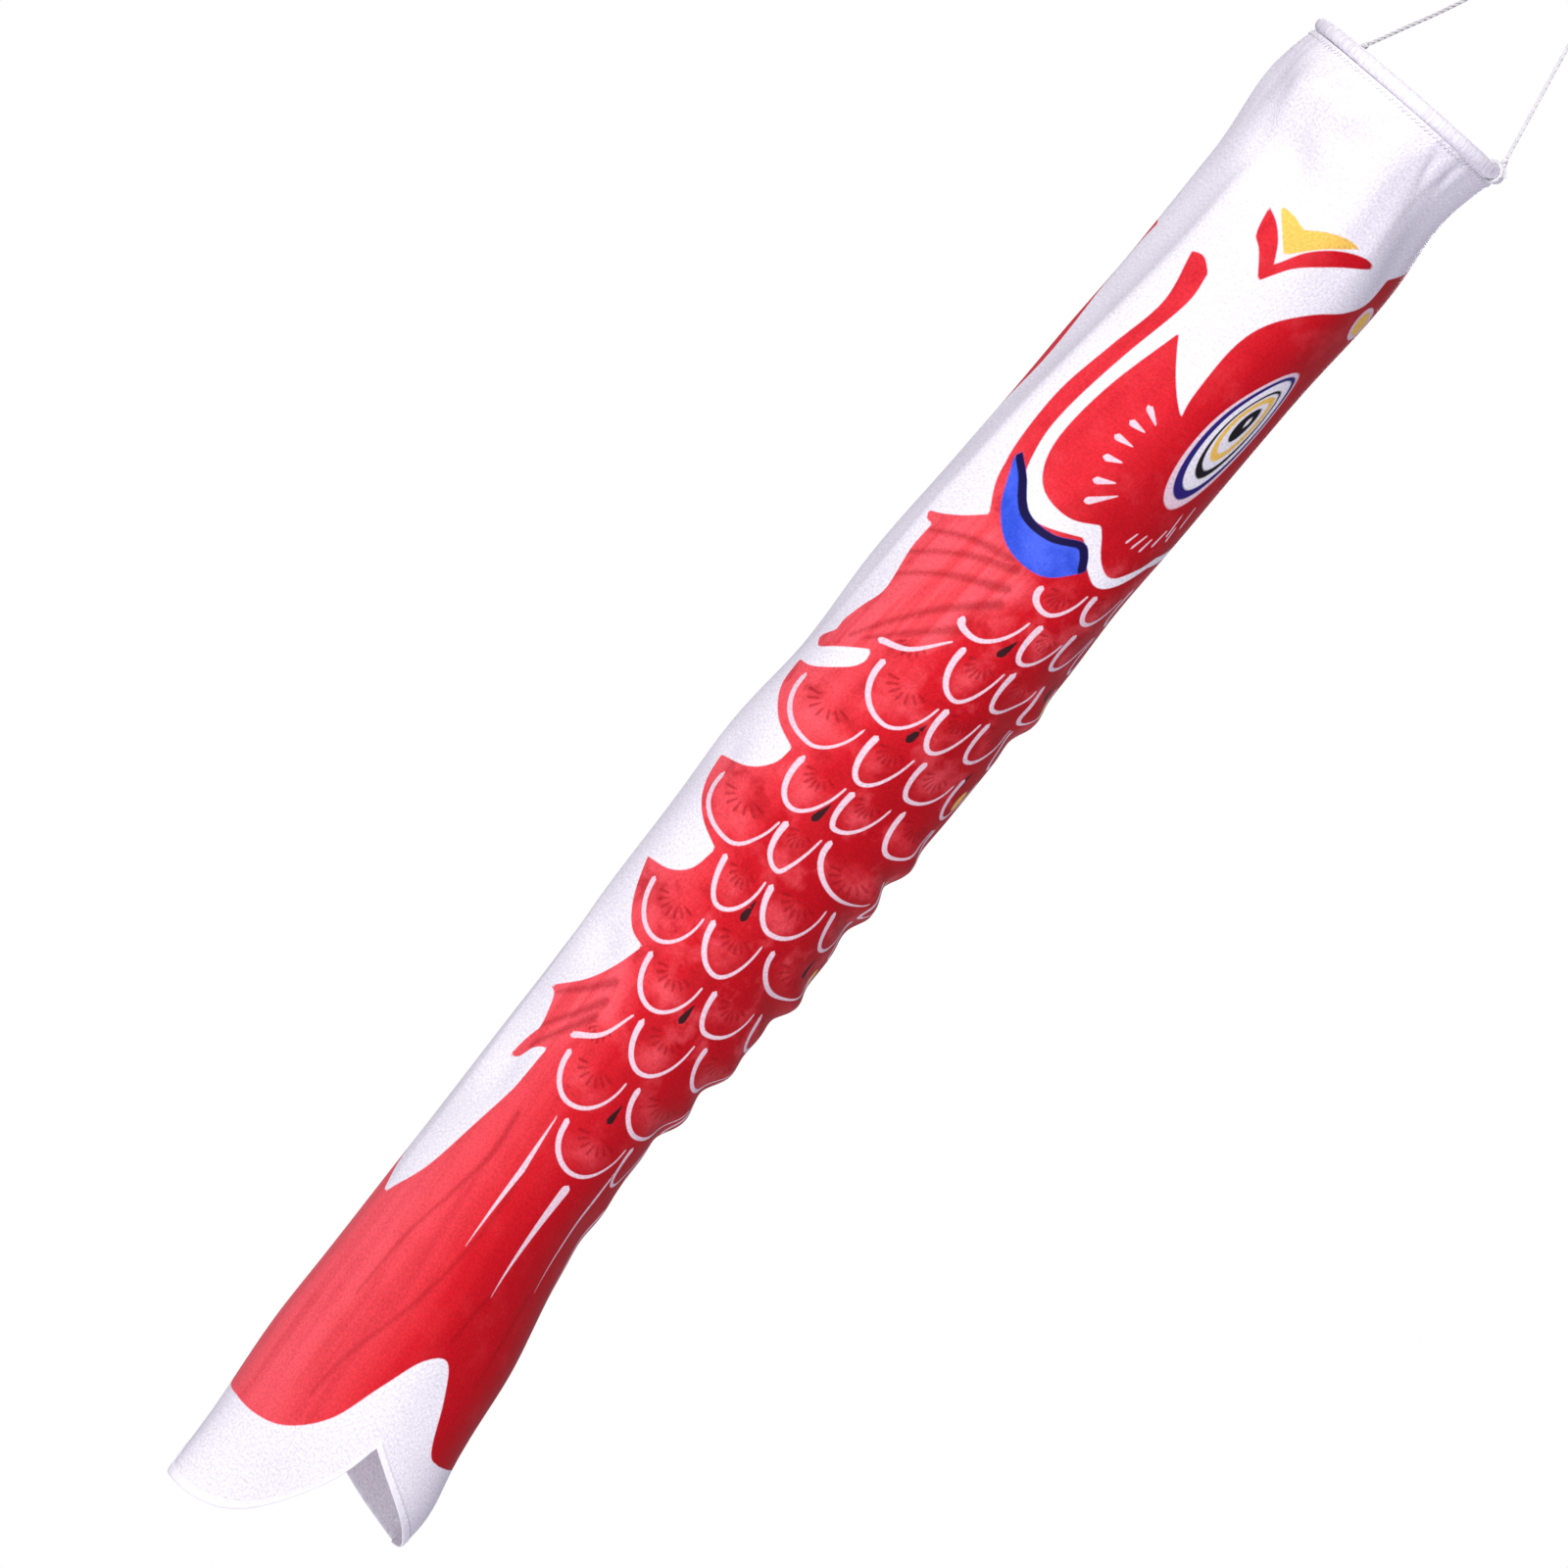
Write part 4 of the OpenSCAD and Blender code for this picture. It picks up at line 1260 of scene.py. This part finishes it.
class CARP_OT_cloth(bpy.types.Operator):
    """The printed tube, in two lengths that meet at mid-body"""
    bl_idname = "carp.cloth"
    bl_label = "Printed Cloth"

    def execute(self, context):
        cloth = context.scene.carp_cloth
        step_mm = cloth.row_step / MM
        columns = cloth.columns
        front = np.linspace(CLOTH_TOP, HALF_CUT, int(round((HALF_CUT - CLOTH_TOP) / step_mm)) + 1)
        back = np.linspace(HALF_CUT, BELLY_LOBE, int(round((BELLY_LOBE - HALF_CUT) / step_mm)) + 1)
        levels = np.concatenate([front, back[1:]])
        side = np.linspace(-180, 180, columns + 1)[None, :] + 0 * levels[:, None]
        angle = side + belly_at(levels)[:, None]
        depth = levels[:, None] + 0 * side
        top, tail = top_edge(angle), tail_edge(angle)
        near_rim = top + (depth - CLOTH_TOP) * (LEVEL_FROM - top) / (LEVEL_FROM - CLOTH_TOP)
        depth = np.where(depth < LEVEL_FROM, near_rim, depth)
        near_tail = LEVEL_TO + (depth - LEVEL_TO) * (tail - LEVEL_TO) / (BELLY_LOBE - LEVEL_TO)
        depth = np.where(depth > LEVEL_TO, near_tail, depth)
        angle = side + belly_at(depth)
        folds = folds_at(side, depth, cloth.gathers) * cloth.folds
        outer = tube_point(angle, depth, folds)
        inner = tube_point(angle, depth, folds - cloth.thickness / MM)
        outer[:, -1], inner[:, -1] = outer[:, 0], inner[:, 0]
        normals = self.normals(outer)
        fields = print_fields(side, depth)
        pale, dark = print_strokes()
        strokes = {"pale": stroke_fields(pale, side, depth), "mark": stroke_fields(dark, side, depth)}
        material = printed_satin()
        cut = len(front) - 1
        pieces = [
            ("fish_front", slice(0, cut + 1), ("mouth", "middle"), BODY_BEND,
             ("head_cloth", "body_bend_cloth", "middle_cloth")),
            ("fish_back", slice(cut, len(levels)), ("middle", "tail"), TAIL_BEND,
             ("tail_bend_cloth", "tail_cloth")),
        ]
        for name, rows, bodies, bend, nodes in pieces:
            piece = self.half(name, rows, outer, inner, normals, side, depth, fields, strokes, material)
            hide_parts(*nodes)
            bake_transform(piece)
        return {"FINISHED"}

    def normals(self, grid):
        """Unit normals of the whole grid, so that the two lengths of cloth shade as one."""
        across = np.roll(grid[:, :-1], -1, axis=1) - np.roll(grid[:, :-1], 1, axis=1)
        down = np.gradient(grid[:, :-1], axis=0)
        n = np.cross(down, across)
        n /= np.linalg.norm(n, axis=2)[..., None]
        return np.concatenate([n, n[:, :1]], axis=1)

    def area(self, grid):
        """Area of a grid of points, in square metres."""
        a = np.diff(grid[:, :-1], axis=0)
        b = np.diff(grid, axis=1)[:-1]
        return float(np.linalg.norm(np.cross(a, b), axis=2).sum())

    def half(self, name, rows, outer, inner, normals, side, depth, fields, strokes, material):
        """One length of cloth with two faces and closed edges, and the print's fields on it."""
        out, wrong = outer[rows, :-1], inner[rows, :-1]
        count, columns = out.shape[:2]
        points = np.concatenate([out.reshape(-1, 3), wrong.reshape(-1, 3)])
        base = count * columns
        k, j = np.meshgrid(np.arange(count - 1), np.arange(columns), indexing="ij")
        n = (j + 1) % columns
        a, b, c, d = k * columns + j, k * columns + n, (k + 1) * columns + n, (k + 1) * columns + j
        right = np.stack([a, d, c, b], axis=-1).reshape(-1, 4)
        left = np.stack([a, b, c, d], axis=-1).reshape(-1, 4) + base
        j = np.arange(columns)
        n = (j + 1) % columns
        last = (count - 1) * columns
        top = np.stack([j, n, n + base, j + base], axis=-1)
        low = np.stack([last + n, last + j, last + j + base, last + n + base], axis=-1)
        faces = np.concatenate([right, left, top, low])
        piece = new_mesh(name, points, faces.tolist(), material)
        mesh = piece.data

        def point_field(label, values):
            mesh.attributes.new(label, "FLOAT", "POINT").data.foreach_set("value",
                                                                          values.astype(np.float32))

        def corner_field(label, values):
            mesh.attributes.new(label, "FLOAT", "CORNER").data.foreach_set("value",
                                                                           values.astype(np.float32))

        for label, field in fields.items():
            both = field[rows, :-1].ravel()
            point_field(label, np.concatenate([both, both]))
        point_field("inside", np.concatenate([np.zeros(base), np.ones(base)]))
        # Corners in the order of each face: outer faces go a, d, c, b and inner ones a, b, c, d
        face_rows = slice(rows.start, rows.stop - 1)
        rim = len(top) * 4 + len(low) * 4
        for label, (across, halves, tint) in strokes.items():
            for part, values, blank in (("across", across, NO_STROKE), ("half", halves, 0.0),
                                        ("tint", tint, 0.0)):
                v = values[face_rows]
                corner_field(f"{label}_{part}", np.concatenate([
                    v[..., [0, 3, 2, 1]].ravel(), v.ravel(), np.full(rim, blank)]))
        # The cloth's own flat coordinates, in metres
        u, w = side[rows] * DEGREE * MM, depth[rows] * MM
        flat = np.stack([np.stack([g[:-1, :-1], g[:-1, 1:], g[1:, 1:], g[1:, :-1]],
                                  axis=-1) for g in (u, w)], axis=-1)
        uv = mesh.uv_layers.new(name="cloth")
        both = np.concatenate([
            flat[..., [0, 3, 2, 1], :].reshape(-1, 2), flat.reshape(-1, 2), np.zeros((rim, 2))])
        uv.data.foreach_set("uv", both.astype(np.float32).ravel())
        # Sharp edges at the cloth's ends, and the same shading on both sides of the cut
        n = normals[rows, :-1].reshape(-1, 3)
        at_corner = np.empty(len(mesh.loops), np.int32)
        mesh.loops.foreach_get("vertex_index", at_corner)
        both = np.concatenate([n, -n])
        custom = both[at_corner]
        custom[-rim:-(rim // 2)] = (0, 0, 1)
        custom[-(rim // 2):] = (0, 0, -1)
        mesh.normals_split_custom_set(custom.tolist())
        return piece


class CARP_OT_seams(bpy.types.Operator):
    """The sewn edge inside the back and the turned hem of the tail"""
    bl_idname = "carp.seams"
    bl_label = "Seams and Hem"

    def execute(self, context):
        cloth = context.scene.carp_cloth
        white = bpy.data.materials.get("white_satin") or plain_satin()
        thread = bpy.data.materials.get("thread") or cord_material("thread", (0.86, 0.85, 0.88), 0.6)
        tape = cord_material("seam_tape", (0.82, 0.80, 0.85), 0.7)
        for name, start, end, bodies, bend, nodes in (
                ("seam_front", 9, HALF_CUT, ("mouth", "middle"), BODY_BEND, ("head_seam", "middle_seam")),
                ("seam_back", HALF_CUT, BACK_LOBE - 6, ("middle", "tail"), TAIL_BEND, ("tail_seam",))):
            depths = np.arange(start, end + 0.01, 2.5)
            piece = self.allowance(name, depths, cloth, tape)
            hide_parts(*nodes)
            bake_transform(piece)
        self.hem(cloth, white, thread)
        return {"FINISHED"}

    def allowance(self, name, depths, cloth, material):
        """Two raw edges sewn together and whipped with thread, standing in from the back line."""
        wide = cloth.seam_width / MM
        columns = 7
        reach = np.linspace(0.5, wide, columns)
        wave = 0.35 * np.sin(depths / 4.1) + 0.25 * np.sin(depths / 1.9 + 1)
        folds = folds_at(np.full_like(depths, 180.0), depths, cloth.gathers) * cloth.folds
        points = []
        for edge in (-0.30, 0.30):
            for r in reach:
                sideways = (edge + wave * (r / wide) ** 2) / DEGREE
                points.append(tube_point(180 + belly_at(depths) + sideways, depths, folds - r))
        rings = np.stack(points[:columns] + points[:columns - 1:-1], axis=1)
        return new_mesh(name, rings, ring_faces(len(depths), 2 * columns, False), material)

    def hem(self, cloth, white, thread):
        """The tail's edge turned back on the outside, with a row of stitches."""
        columns = cloth.columns
        side = np.arange(columns) * 360 / columns - 180
        wide = cloth.hem_width / MM
        profile = [(wide, 0.02), (wide, 0.14), (wide * 0.6, 0.20), (wide * 0.2, 0.20), (-0.10, 0.12),
                   (-0.2, -0.15),
                   (-0.05, -0.40), (wide * 0.2, -0.38), (wide * 0.5, -0.35)]
        rings = []
        for up, out in profile:
            angle = side + belly_at(np.full_like(side, HEM_DEPTH))
            depth = tail_edge(angle) - up
            pucker = 0.12 * np.sin(np.radians(side * 47)) if 0 < up < wide else 0
            rings.append(tube_point(angle, depth,
                                    folds_at(side, depth, cloth.gathers) * cloth.folds + out + pucker))
        points = np.stack(rings, axis=1)
        hem = new_mesh("hem", points, ring_faces(columns, len(profile), True, turned=True), white)
        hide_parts("tail_hem")
        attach(hem, "tail")

        # Stitches along the hem
        parts = []
        fine = np.linspace(-180, 180, 1441)
        angle = fine + belly_at(np.full_like(fine, HEM_DEPTH))
        depth = tail_edge(angle) - wide * 0.75
        line = tube_point(angle, depth, folds_at(fine, depth, cloth.gathers) * cloth.folds + 0.22)
        far = np.concatenate([[0], np.cumsum(np.linalg.norm(np.diff(line, axis=0), axis=1))])
        for k in range(int(far[-1] / STITCH_PITCH)):
            at = k * STITCH_PITCH + np.array([0.0002, 0.0008, 0.0015, 0.0021])
            path = np.stack([np.interp(at, far, line[:, c]) for c in range(3)], axis=1)
            ring, face, _, _ = swept(path, [0.00008, 0.00017, 0.00017, 0.00008], 5)
            parts.append((ring, face))
        stitches = new_mesh("hem_stitches", *joined(parts), thread)
        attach(stitches, "tail")


class CARP_PT_panel(bpy.types.Panel):
    """Lists the pieces of the carp streamer"""
    bl_idname = "CARP_PT_panel"
    bl_label = "Carp Streamer"
    bl_space_type = "VIEW_3D"
    bl_region_type = "UI"
    bl_category = "Carp"

    def draw(self, context):
        scene = context.scene
        for settings in (scene.carp_cloth, scene.carp_print, scene.carp_bridle, scene.carp_stage):
            box = self.layout.box()
            for name in settings.__annotations__:
                box.prop(settings, name)
        for operator in OPERATORS:
            self.layout.operator(operator.bl_idname)


SETTINGS = {
    "carp_cloth": CarpClothSettings,
    "carp_print": CarpPrintSettings,
    "carp_bridle": CarpBridleSettings,
    "carp_stage": CarpStageSettings,
}
OPERATORS = (CARP_OT_stage, CARP_OT_bridle, CARP_OT_hoop, CARP_OT_rim, CARP_OT_cloth, CARP_OT_seams)


def register():
    for group in SETTINGS.values():
        bpy.utils.register_class(group)
    for name, group in SETTINGS.items():
        setattr(bpy.types.Scene, name, bpy.props.PointerProperty(type=group))
    for operator in OPERATORS:
        bpy.utils.register_class(operator)
    bpy.utils.register_class(CARP_PT_panel)


def unregister():
    bpy.utils.unregister_class(CARP_PT_panel)
    for operator in reversed(OPERATORS):
        bpy.utils.unregister_class(operator)
    for name, group in SETTINGS.items():
        delattr(bpy.types.Scene, name)
        bpy.utils.unregister_class(group)


def main():
    register()
    clean_selection()
    bpy.ops.carp.stage()
    bpy.ops.carp.bridle()
    bpy.ops.carp.hoop()
    bpy.ops.carp.rim()
    bpy.ops.carp.cloth()
    bpy.ops.carp.seams()


if __name__ == "__main__":
    main()
